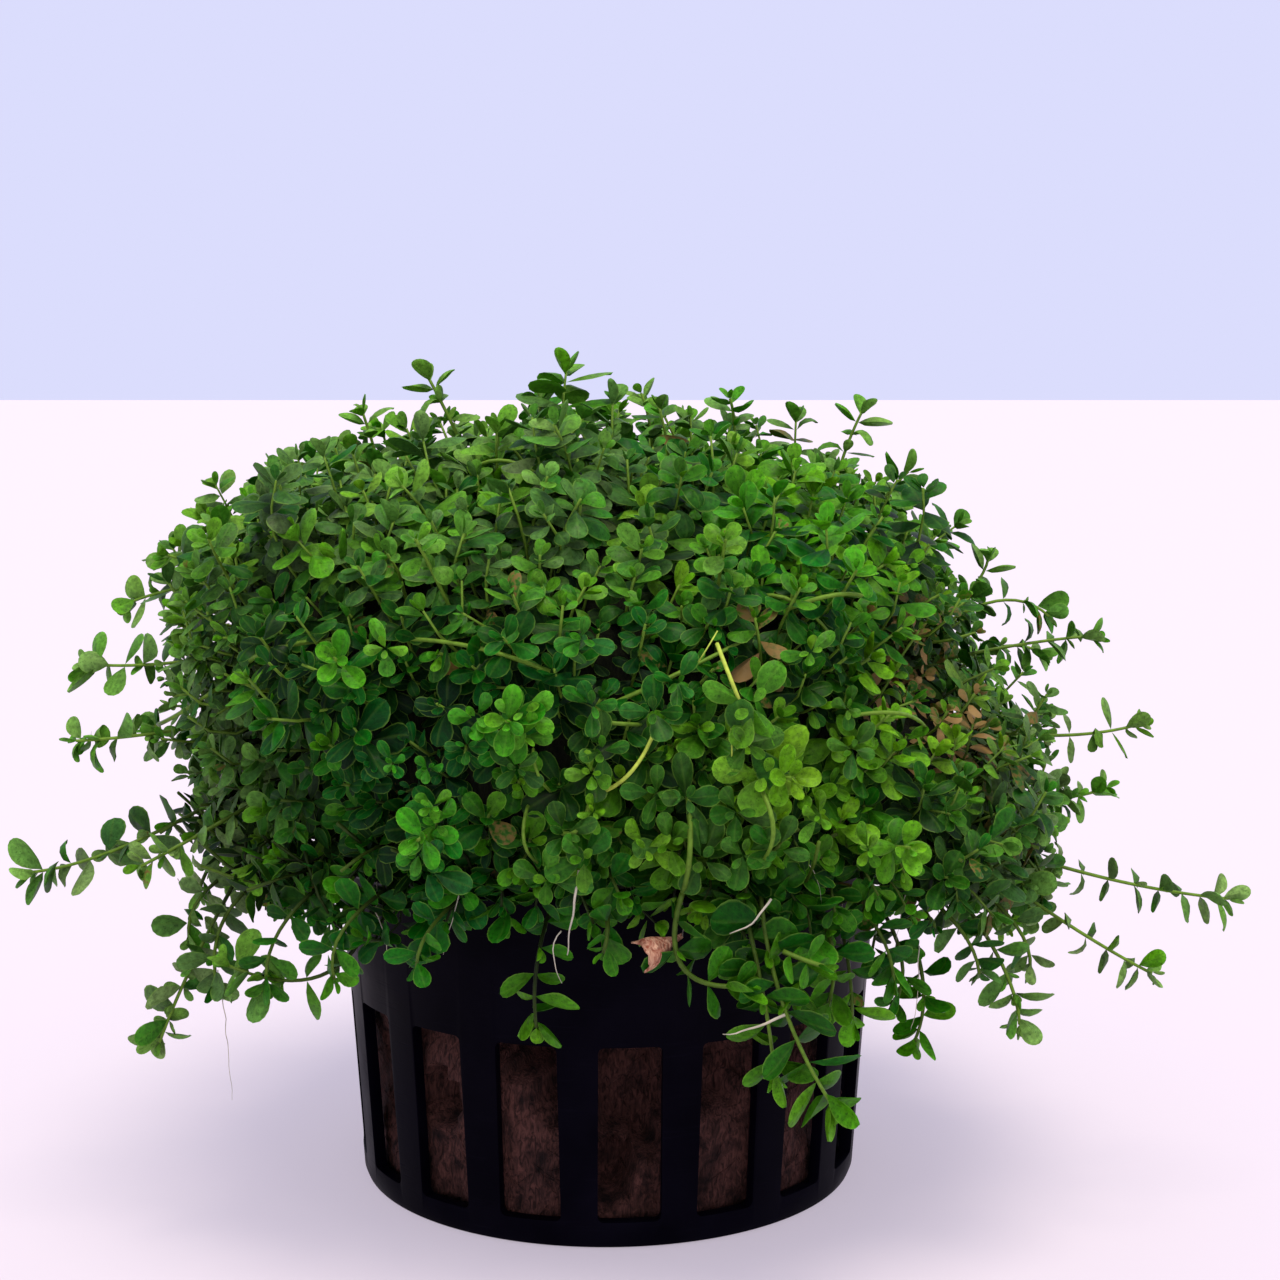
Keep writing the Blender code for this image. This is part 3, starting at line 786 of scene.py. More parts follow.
def vigour_at(place: Vector) -> Vigour:
    """Works out how leaves grow at a place in mm, from slow noise and the patches near it."""
    lit = max(0.08 * smooth_step(place.z, 54, 64), 0.06 * smooth_step(abs(place.x), 25, 38))
    age = 0.30 + 0.30 * noise.noise(place / 6.0) - lit
    warmth = 0.42 + 0.34 * noise.noise(place / 9.0 + Vector((31.0, 7.0, 3.0)))
    decay = 1.1 * max(0.0, noise.noise(place / 6.0 + Vector((3.0, 51.0, 17.0))) - 0.38)
    size = 1.0 + 0.22 * noise.noise(place / 9.0 + Vector((11.0, 2.0, 43.0)))
    low = 1 - smooth_step(place.z, 24, 38)
    outer = (0.30 + 0.14 * low) * smooth_step(abs(place.x), 25, 38)
    # painted haze on the crown and the sides, stronger low on the sides, where bright light bleeds round the
    # cushion
    painted_haze = max(0.25 * smooth_step(place.z, 51, 66), outer)
    for patch in PATCHES.values():
        share = math.exp(-(((place - Vector(patch.centre)).length / patch.reach) ** 2))
        age += patch.age * share
        warmth += patch.warmth * share
        decay += patch.decay * share
        size += patch.size * share
        painted_haze += patch.painted_haze * share
    return Vigour(age, warmth, decay, size, max(0.0, painted_haze))


@dataclass(frozen=True)
class Pair:
    """A pair of opposite leaves on a stem: distance from the tip in mm, size, opening and age."""

    back: float
    size: float
    opening: float
    age: float


# In these tables ages rise with distance from the tip, so deeper pairs take the dark end of the ramp: partly
# their own age, partly painted shade.
SHOOT_PAIRS = (
    Pair(0.0, 0.42, 20, 0.0),
    Pair(0.4, 0.68, 44, 0.04),
    Pair(1.0, 0.92, 62, 0.14),
    Pair(1.9, 1.0, 74, 0.28),
    Pair(3.0, 1.0, 84, 0.44),
    Pair(4.4, 0.94, 94, 0.60),
    Pair(6.0, 0.88, 102, 0.76),
    Pair(7.8, 0.84, 108, 0.9),
)

STEM_PAIRS = (
    Pair(0.0, 0.44, 20, 0.0),
    Pair(0.5, 0.74, 44, 0.02),
    Pair(1.3, 0.95, 58, 0.08),
    Pair(2.6, 1.0, 68, 0.16),
    Pair(4.3, 1.0, 74, 0.26),
    Pair(6.3, 0.98, 80, 0.36),
    Pair(8.5, 0.96, 84, 0.44),
    Pair(10.8, 0.94, 88, 0.52),
    Pair(13.2, 0.94, 90, 0.60),
    Pair(15.6, 0.92, 92, 0.66),
    Pair(18.0, 0.92, 94, 0.72),
    Pair(20.5, 0.90, 96, 0.78),
)

ROSETTE_PAIRS = (
    Pair(0.0, 0.34, 20, 0.0),
    Pair(0.3, 0.62, 48, 0.0),
    Pair(0.8, 0.92, 66, 0.02),
    Pair(1.6, 1.0, 78, 0.08),
    Pair(2.8, 0.98, 88, 0.20),
    Pair(4.4, 0.92, 96, 0.34),
    Pair(6.2, 0.88, 100, 0.5),
)


@dataclass(frozen=True)
class Habit:
    """How a stem carries its leaves.

    Attributes:
        longest: Length in mm of its longest leaves.
        lost: The chance that a leaf has been lost.
        light: Where blades turn to, longer the more they do so.
        arched: Share of blades that are bent far back.
        stretch: How far apart its pairs are, as a share of the common distance.
        breadth: How broad its blades are, as a share of the common width.
        disorder: How far its blades stray from their order, as a share of the common amount.
        budding: The chance that a pair has a pair of small leaves in its axils.
    """

    longest: float
    lost: float
    light: Vector
    arched: float = 0.3
    stretch: float = 1.0
    breadth: float = 1.0
    disorder: float = 1.0
    budding: float = 0.22


class Grower:
    """Grows leaves along stems, with all of its chance from one seed."""

    def __init__(self, seed: int) -> None:
        """Starts the chance."""
        self.chance = random.Random(seed)

    def form_for(self, age: float, arched: float) -> LeafForm:
        """Picks a leaf's form.

        Args:
            age: The leaf's age in its order from the tip.
            arched: Share of blades that are bent far back.

        Returns:
            A cupped form for many young leaves, a bent one for the arched share, or else a plain one.
        """
        if age < 0.1 and self.chance.random() < 0.6:
            return LeafForm.CUPPED
        if self.chance.random() < arched:
            return self.chance.choices((LeafForm.RECURVED, LeafForm.HOOKED), (3, 2))[0]
        return self.chance.choices((LeafForm.FLAT, LeafForm.DOMED, LeafForm.NARROW), (5, 4, 1))[0]

    def leaf(
        self, place: Vector, tangent: Vector, outward: Vector, pair: Pair, vigour: Vigour, habit: Habit
    ) -> Leaf:
        """Grows one leaf.

        Args:
            place: Where the pair stands on the stem, in mm.
            tangent: The stem's direction there.
            outward: The side of the stem that the leaf grows from.
            pair: The pair's place in the order from the tip.
            vigour: How leaves grow there.
            habit: How the stem carries its leaves.

        Returns:
            The leaf, turned towards the light.
        """
        vary = self.chance.uniform
        form = self.form_for(pair.age, habit.arched)
        opening = math.radians(pair.opening + vary(-13, 13) * habit.disorder) - form.bend * 0.35
        along = tangent * math.cos(opening) + outward * math.sin(opening)
        face = tangent * math.sin(opening) - outward * math.cos(opening)
        jitter = Vector((vary(-1, 1), vary(-1, 1), vary(-1, 1)))
        along = along + jitter * 0.16 * habit.disorder
        along -= habit.light * max(0.0, along.dot(habit.light)) * 0.35
        face = face + habit.light + jitter.cross(along) * 0.28 * habit.disorder
        age = pair.age + vigour.age + vary(-0.14, 0.14)
        decay = vigour.decay * vary(0.3, 1.4) * (0.6 + 0.6 * pair.age)
        if self.chance.random() < 0.02 + 0.05 * pair.age:
            decay += vary(0.2, 0.7)
        return Leaf(
            foot=place + outward * 0.12,
            along=along,
            face=face,
            length=habit.longest * pair.size * vary(0.84, 1.16),
            breadth=habit.breadth * vary(0.82, 1.18),
            form=form,
            age=min(1.0, max(0.0, age)),
            warmth=min(1.0, max(0.0, vigour.warmth + vary(-0.15, 0.15))),
            decay=min(1.0, max(0.0, decay)),
            painted_haze=vigour.painted_haze * vary(0.0, 1.9),
            deep=pair.back > 3.8,
        )

    def placed(
        self,
        foot: tuple[float, float, float],
        tip: tuple[float, float, float],
        width: float,
        age: float,
        form: LeafForm,
    ) -> Leaf:
        """Makes a leaf that stands at a stated place and faces the front.

        Args:
            foot: Where it grows from, in mm.
            tip: Where it ends, in mm.
            width: Its greatest width, in mm.
            age: Its age.
            form: Its form.

        Returns:
            The leaf.
        """
        vary = self.chance.uniform
        run = Vector(tip) - Vector(foot)
        chord = run.normalized()
        outward = Vector((vary(-0.25, 0.25), -1.0, vary(0.1, 0.5)))
        outward = (outward - chord * outward.dot(chord)).normalized()
        half = form.bend / 2
        length = run.length * half / math.sin(half)
        return Leaf(
            foot=Vector(foot),
            along=chord * math.cos(half) + outward * math.sin(half),
            face=outward * math.cos(half) - chord * math.sin(half),
            length=length,
            breadth=width / (length * LeafPattern.width * form.value[2]),
            form=form,
            age=min(1.0, max(0.0, age + vary(-0.08, 0.08))),
            warmth=min(1.0, max(0.0, vigour_at(Vector(foot)).warmth + vary(-0.2, 0.2))),
            decay=0.0,
            painted_haze=vary(0.0, 0.08),
        )

    def leaves_along(self, route: Route, pairs: Sequence[Pair], vigour: Vigour, habit: Habit) -> list[Leaf]:
        """Grows opposite pairs along a stem, each a quarter turn from the one before.

        Args:
            route: The stem's route.
            pairs: Its pairs, from the tip back.
            vigour: How leaves grow there.
            habit: How the stem carries its leaves.

        Returns:
            The leaves.
        """
        leaves = []
        turn = self.chance.uniform(0, math.pi)
        for pair in pairs:
            distance = route.length - pair.back * habit.stretch
            if distance < 0:
                break
            place, tangent = route.at(distance)
            side = tangent.orthogonal().normalized()
            turn += math.pi / 2 + self.chance.uniform(-0.3, 0.3)
            for half in (0.0, math.pi):
                if self.chance.random() < habit.lost * (0.3 + pair.age):
                    continue
                outward = Matrix.Rotation(turn + half, 3, tangent) @ side
                leaves.append(self.leaf(place, tangent, outward, pair, vigour, habit))
            if 2.0 < pair.back and self.chance.random() < habit.budding:
                bud = Pair(pair.back, 0.42, 34, 0.08)
                for half in (0.0, math.pi):
                    outward = Matrix.Rotation(turn + half + 1.2, 3, tangent) @ side
                    leaves.append(self.leaf(place, tangent, outward, bud, vigour, habit))
        return leaves


def stem_strand(route: Route, thick: float, thin: float, step: float) -> Strand:
    """A stem's strand along its whole route, thinner towards the tip.

    Args:
        route: The stem's route.
        thick: Radius at its foot, in mm.
        thin: Radius at its tip, in mm.
        step: Distance between points, in mm.

    Returns:
        The strand.
    """
    count = max(3, round(route.length / step))
    points, radii = [], []
    for index in range(count + 1):
        share = index / count
        points.append(route.at(route.length * share)[0])
        radii.append(thick + (thin - thick) * share)
    return Strand(points, radii)


@dataclass(frozen=True)
class Profile:
    """The cushion's outline on one side, in mm: its greatest radius, the height of that, and its skirt."""

    radius: float
    waist: float
    skirt: tuple[tuple[float, float], ...]


FRONT = Profile(
    40.8,
    43.0,
    (
        (40.4, 40.0), (39.4, 36.6), (38.0, 32.2),
        (35.6, 28.8), (32.0, 29.2), (29.8, 32.0),
    ),
)
LEFT = Profile(
    39.2,
    50.0,
    (
        (38.6, 43.5), (37.0, 38.0), (35.0, 33.0),
        (33.6, 26.8), (31.4, 28.0), (29.8, 32.0),
    ),
)
RIGHT = Profile(
    30.6,
    48.0,
    (
        (38.2, 43.5), (40.2, 36.0), (39.0, 27.2),
        (36.2, 24.6), (32.2, 27.4), (29.8, 32.0),
    ),
)


def turned(section: Sequence[Vector], steps: int) -> bmesh.types.BMesh:
    """Turns a section in the XZ plane about Z, with corners and faces in the same order each run.

    Args:
        section: Its points in mm. A point on the axis becomes a single corner.
        steps: Steps of the full turn.

    Returns:
        A bmesh in mm, with its faces outwards where the section runs downwards.
    """
    shape = bmesh.new()
    rings = []
    for point in section:
        if point.x < 0.01:
            rings.append([shape.verts.new(point)] * steps)
        else:
            turns = (Matrix.Rotation(math.tau * index / steps, 3, "Z") for index in range(steps))
            rings.append([shape.verts.new(turn @ point) for turn in turns])
    for upper, lower in zip(rings, rings[1:]):
        for index in range(steps):
            after = (index + 1) % steps
            corners = dict.fromkeys((upper[index], lower[index], lower[after], upper[after]))
            shape.faces.new(list(corners))
    return shape


@dataclass
class CushionForm:
    """The cushion's outer form: a squarish dome over a skirt that hangs past the pot's lip, in mm."""

    top: float = 66.8
    power: float = 2.45
    dome_rings: int = 18
    hem_sides: float = 25.0
    hem_front: float = 30.6
    lump_size: float = 11.0
    lump_height: float = 2.4
    steps: int = 72

    def section(self, side: Profile, inset: float, lowest: float) -> list[Vector]:
        """Half section of the form in the XZ plane, from the crown down to the skirt's inner side.

        Args:
            side: The outline that it follows.
            inset: How far inside the form it lies.
            lowest: The least height of any point.

        Returns:
            The section's points.
        """
        points = []
        for ring in range(self.dome_rings + 1):
            turn = math.radians(90) * (1 - ring / self.dome_rings)
            across = max(0.0, math.cos(turn)) ** (2 / self.power)
            rise = max(0.0, math.sin(turn)) ** (2 / self.power)
            height = side.waist + (self.top - inset - side.waist) * rise
            points.append(Vector(((side.radius - inset) * across, 0.0, max(lowest, height))))
        points += [Vector((radius - inset, 0.0, max(lowest, height))) for radius, height in side.skirt]
        return points

    def skin(self, inset: float = 0.0, lowest: float = 0.0) -> bmesh.types.BMesh:
        """The form's lumpy surface, open at the neck.

        Args:
            inset: How far inside the form it lies.
            lowest: The least height of any point.

        Returns:
            A bmesh in mm with its normals outwards.
        """
        front, left, right = (self.section(side, inset, lowest) for side in (FRONT, LEFT, RIGHT))
        shape = turned(front, self.steps)
        for vert in shape.verts:
            flat = Vector((vert.co.xy.length, 0.0, vert.co.z))
            ring = min(range(len(front)), key=lambda index: (front[index] - flat).length)
            outward = Vector((vert.co.x, vert.co.y, 0.0)).normalized()
            place = front[ring].lerp((left if outward.x < 0 else right)[ring], outward.x**2)
            vert.co = outward * place.x + UP * place.z
        shape.normal_update()
        moves = {}
        for vert in shape.verts:
            moves[vert] = vert.normal * self.lump_height * noise.noise(vert.co / self.lump_size)
        for vert, move in moves.items():
            vert.co += move
            frontness = max(0.0, -vert.co.y / max(vert.co.xy.length, 1.0))
            hem = self.hem_sides + (self.hem_front - self.hem_sides) * frontness**2
            vert.co.z = max(vert.co.z, hem)
        shape.normal_update()
        return shape


def scattered(
    skin: bmesh.types.BMesh, spacing: float, tries: int, chance: random.Random
) -> list[tuple[Vector, Vector]]:
    """Spreads points over a surface, none nearer to another than a spacing.

    Args:
        skin: The surface.
        spacing: Least distance between points, in mm.
        tries: How many points are tried.
        chance: Where the chance comes from.

    Returns:
        Place and normal of each point.
    """
    bmesh.ops.triangulate(skin, faces=skin.faces)
    faces = list(skin.faces)
    weights = list(accumulate(face.calc_area() for face in faces))
    taken: dict[tuple[int, ...], list[Vector]] = {}
    found = []
    for _ in range(tries):
        face = faces[bisect_right(weights, chance.uniform(0, weights[-1] * 0.999999))]
        first, second = sorted((chance.random(), chance.random()))
        shares = (first, second - first, 1 - second)
        place = sum((vert.co * share for vert, share in zip(face.verts, shares)), Vector())
        normal = sum((vert.normal * share for vert, share in zip(face.verts, shares)), Vector())
        cell = tuple(math.floor(value / spacing) for value in place)
        near = (taken.get(tuple(c + s for c, s in zip(cell, step)), ()) for step in NEIGHBOURS)
        if any((place - other).length < spacing for others in near for other in others):
            continue
        taken.setdefault(cell, []).append(place)
        found.append((place, normal.normalized()))
    return found


STEMS = {
    "stem_left_far": (((-31, -8, 37), (-41, -12, 32), (-49, -14, 30)), 3.8),
    "stem_left_low": (((-30, -14, 32), (-34, -19, 24), (-37, -20, 17)), 3.4),
    "stem_left_level": (((-18, -27, 31), (-22, -28, 25), (-30, -27, 25.5)), 3.4),
    "stem_left_upper": (((-30, -5, 48), (-39, -7, 47), (-45.5, -7, 47)), 3.6),
    "stem_left_middle": (((-30, -11, 43), (-38, -14, 42), (-44.5, -15, 41.5)), 3.6),
    "stem_left_shoulder": (((-32, -1, 54), (-39, -1, 53), (-43.5, -1, 51.5)), 3.0),
    "stem_left_short": (((-27, -18, 38), (-33, -23, 35), (-37, -25, 33)), 3.2),
    "stem_top_tall": (((-10, -4, 60), (-13, -6, 67), (-15.5, -6, 72)), 3.4),
    "stem_top_left": (((-19, 0, 58), (-20.5, 0, 64), (-22, 0, 69)), 3.2),
    "stem_top_rosette": (((-5, -8, 60), (-5.5, -10, 66), (-5.5, -10, 70)), 3.8),
    "stem_top_middle": (((4, 4, 60), (4, 4, 66), (3, 4, 70.5)), 3.2),
    "stem_top_right": (((11, 2, 60), (11.5, 2, 66), (11, 1, 70)), 3.0),
    "stem_top_far_right": (((20, 5, 58), (21.5, 6, 64), (23.5, 6, 69)), 3.2),
    "stem_top_back": (((-27, 12, 54), (-30, 13, 59), (-31.5, 14, 63)), 3.8),
    "stem_right_crown": (((20, 0, 54), (24, 0, 60), (27, 0, 63.5)), 3.4),
    "stem_right_shoulder": (((25, 12, 49), (29.5, 15, 54), (32, 16, 57)), 3.2),
    "stem_right_upper": (((26, 4, 47), (32.5, 4, 51.5), (35, 4, 55.5)), 3.2),
    "stem_right_arch": (((25, -8, 47), (32.5, -9.5, 52.5), (38, -10, 51.5)), 3.2),
    "stem_right_high": (((27, -2, 46), (36, -2.5, 48), (43.5, -3, 49)), 3.2),
    "stem_right_loose": (((29, 6, 43), (36, 8, 46.5), (41, 8, 46)), 3.0),
    "stem_right_behind": (((27, 14, 43), (33, 17, 49), (36.5, 18, 51)), 3.0),
    "stem_right_middle": (((32, -5, 41), (40, -6, 40.5), (47, -6, 41.5)), 3.2),
    "stem_right_short": (((32, -2, 35), (39, -2, 34), (45, -2, 35)), 3.2),
    "stem_right_far": (((31, -7, 32), (43, -9, 28.5), (54.5, -9, 26.5)), 3.4),
    "stem_right_low": (((30, -14, 32), (39, -16, 26), (46, -17, 22)), 3.0),
    "stem_right_hanging": (((28, -21, 31), (32, -24, 25), (33.5, -25, 20)), 3.8),
    "stem_right_inner": (((23.5, -25, 30), (25.5, -26, 24), (25, -25, 18.5)), 3.4),
    "stem_front_long": (((12, -33, 35), (13.2, -37.8, 26.5), (17.4, -37.4, 17.4)), 4.0),
    "stem_front_middle": (((10.5, -33, 33), (12, -37.4, 26.5), (13, -37.3, 19.8)), 3.6),
    "stem_front_left": (((-4, -31, 31), (-5, -34, 27), (-5, -34, 22.5)), 3.2),
    "stem_front_right": (((18, -27, 32), (19, -30.9, 27), (19.4, -30.8, 22)), 3.6),
}  # route from inside the cushion over a bend to the tip, and the longest leaf, in mm

ROSETTES = {
    "rosette_front_1": (-9, 47, 2.7),
    "rosette_front_2": (-20, 57, 2.4),
    "rosette_front_3": (-28, 50, 2.5),
    "rosette_front_4": (18.5, 42.5, 2.6),
    "rosette_front_5": (33, 36.5, 2.6),
    "rosette_front_6": (-18, 38.5, 2.6),
    "rosette_front_7": (15, 57, 2.4),
}  # azimuth from the front in degrees, height and longest leaf in mm

BACK_STEMS = 9
BACK_FIRST = 26.0  # azimuth of the first stem behind, from the right, in degrees
BACK_LAST = 154.0
BACK_ENDS = ((32.0, 35.0), (45.0, 33.0))  # distance from the axis and height of foot and tip, in mm
BACK_RISE = 2.5
BACK_STAGGER = 9.0

CREEPERS = {
    "upright": ((6.5, -40, 41), (6.5, -41, 37.5), (6, -39, 33.5), 0.21),
    "level": ((-0.5, -40, 47), (1, -40.5, 47), (2.5, -40.5, 47), 0.16),
    "left_high": ((-28.5, -26, 49.5), (-25, -28, 51), (-22, -29, 52.5), 0.21),
    "left_far": ((-38.5, -14.5, 42.5), (-34, -19, 45), (-30.5, -23, 48), 0.20),
    "right_high": ((15, -33, 55.5), (18, -32, 55.5), (21.5, -30, 55.5), 0.18),
    "right_level": ((20, -34, 46.5), (22.5, -32.5, 46.5), (25.5, -29.5, 46), 0.16),
    "slant": ((-23.5, -28.5, 44), (-22.5, -29, 45.5), (-22, -29.5, 47), 0.18),
    "long_head": ((12.5, -41, 41.5), (12.5, -41.5, 39.5), (12.5, -40.5, 37), 0.20),
    "thick_light": ((-1, -41, 40.5), (-1.5, -41.5, 39.5), (-2.5, -41, 38.5), 0.20),
    "thin_low": ((-5.5, -41, 40), (-5.5, -41, 38.5), (-5, -40.5, 36.5), 0.14),
    "thin_middle": ((-5, -40.5, 44.5), (-4.5, -41, 43.5), (-4, -40.5, 42), 0.12),
}  # bare stems that show at the surface: foot, bend, tip and radius in mm

PALE_CREEPERS = {
    "yellow": ((8.5, -38.5, 52.5), (9.5, -41, 50), (10.5, -39.5, 47.5), 0.17),
    "rib": ((0.5, -40, 42), (2.5, -42, 44), (4, -40, 46.5), 0.15),
    "thread": ((8.5, -39, 53.5), (7.5, -40, 52), (7, -38.5, 51), 0.06),
    "low_thread": ((9.5, -39.5, 46.5), (9.5, -41, 45), (9.5, -39.5, 44), 0.06),
}  # yellower young stems in clear view: foot, bend, tip and radius in mm

HANGERS = (
    ((8, -29, 32), (10.5, -34, 30.5), (11, -34.5, 27.2), 3.2),
    ((12, -30, 32), (14.6, -35, 29.5), (14.8, -35.2, 25.6), 3.4),
    ((16, -30, 31), (17.6, -33.5, 28.5), (17.2, -34, 24), 3.2),
    ((19, -29, 32), (21.5, -31.5, 29), (22.5, -31.5, 25.5), 2.8),
    ((21, -26, 31.5), (23.5, -28, 26.5), (22.8, -28.5, 22.5), 2.8),
    ((25, -23, 31), (28.5, -26, 28), (30, -26, 24.5), 2.6),
    ((29, -18, 31), (33.5, -21, 27.5), (35, -21, 23.5), 2.6),
    ((-22, -25, 32), (-25.5, -28.5, 28.5), (-26.5, -28.5, 24), 2.8),
    ((-27, -19, 31.5), (-31, -22, 28), (-31.5, -23, 22.5), 2.8),
    ((-30, -13, 31), (-34, -16, 28.5), (-35, -17, 25), 2.8),
    ((-17, -29, 32), (-20, -33, 29.5), (-20.5, -33, 26), 2.8),
    ((-11, -32, 32), (-13, -36.5, 30.5), (-13.8, -36.8, 28), 2.8),
    ((0, -33, 32.5), (0.5, -37.5, 31.5), (0.2, -38, 29.4), 2.8),
    ((31, -8, 31), (35.5, -9, 28), (37, -9.5, 24.5), 2.8),
    ((-31, -4, 31), (-35, -5, 29), (-36.5, -5, 26), 2.8),
)  # leafy tips that hang from the hem: foot, bend, tip and longest leaf in mm

SPRIGS = (
    ((6, -38.5, 34), (6, -38.5, 28.5), (10.5, -38.5, 27), 3.2),
    ((13.5, -38, 29.5), (15, -38.5, 29), (16.5, -38.5, 28.5), 2.2),
)  # leafy sprigs in front of the lip: foot, bend, tip and longest leaf in mm

FRONT_TIPS = (
    (12.0, 43.2, 65, 3.9, 0.06), (15.9, 40.1, 60, 1.8, 0.04), (19.5, 37.6, 135, 1.8, 0.15),
    (10.9, 48.2, 54, 3.5, 0.24), (10.6, 45.4, 122, 3.5, 0.42), (15.2, 52.1, 15, 1.8, 0.18),
    (17.9, 47.9, 75, 1.8, 0.35), (18.3, 45.0, 60, 2.1, 0.42), (3.3, 37.7, 140, 2.3, 0.08),
    (5.0, 38.0, 30, 2.5, 0.32), (6.3, 41.4, 88, 3.1, 0.60), (4.1, 41.8, 165, 2.4, 0.45),
    (9.9, 40.4, 185, 2.8, 0.48), (7.4, 36.9, 42, 3.1, 0.58), (10.4, 37.2, 52, 2.7, 0.48),
    (12.9, 37.6, 55, 2.6, 0.46), (3.9, 47.7, 105, 3.0, 0.62), (5.6, 49.9, 60, 1.9, 0.50),
    (-0.5, 48.2, 90, 2.3, 0.48), (-1.3, 53.0, 165, 2.2, 0.34), (-0.6, 43.2, 175, 1.9, 0.10),
    (0.2, 44.9, 92, 2.5, 0.50), (-0.5, 40.4, 120, 1.4, 0.05), (-2.6, 38.8, 135, 2.8, 0.60),
    (-1.2, 37.0, 27, 2.8, 0.32), (-3.9, 35.3, 180, 2.8, 0.32), (-5.4, 47.8, 50, 2.5, 0.06),
    (-5.6, 46.0, -35, 2.1, 0.24), (-8.9, 47.3, 155, 2.4, 0.20), (-6.0, 43.6, 150, 2.1, 0.66),
    (-9.6, 45.2, 180, 1.7, 0.50), (-15.4, 52.4, 92, 2.1, 0.10), (-15.0, 43.9, 110, 1.5, 0.32),
    (-12.5, 43.6, 20, 1.4, 0.30), (-12.2, 40.8, 130, 1.7, 0.05), (-12.0, 39.5, -30, 2.5, 0.28),
    (-13.2, 37.3, 170, 1.9, 0.24), (-12.7, 36.1, 0, 2.8, 0.50),
)  # tips that face the front: x and height on the reading plane, turn in degrees, longest leaf, age

FRONT_PAIRS = (
    (1.0, 0.10, LeafForm.DOMED, LeafForm.FLAT),
    (0.8, 0.0, LeafForm.DOMED, LeafForm.DOMED),
    (0.4, -0.1, LeafForm.CUPPED, LeafForm.CUPPED),
)  # crossed pairs of a front tip from the outer one: size, shift of age, and the forms of their leaves

HOLLOWS = (
    (-10.6, -35, 35.7, 4.5), (-20.3, -31, 35.6, 4.5), (-13.6, -35, 46.2, 5),
    (-23, -28, 41.4, 3), (5, -38, 50.5, 3.2), (20.5, -33, 41, 4),
    (-2.5, -39, 36.8, 2.6), (-29, -20, 36, 3), (34, -12, 46.5, 2.6),
)  # dark hollows between the shoots: centre and reach in mm

CLEARINGS = ((4.3, -39.0, 29.9, 2.3), (6.8, -39.0, 29.4, 1.2))  # places in view of which no leaf hangs


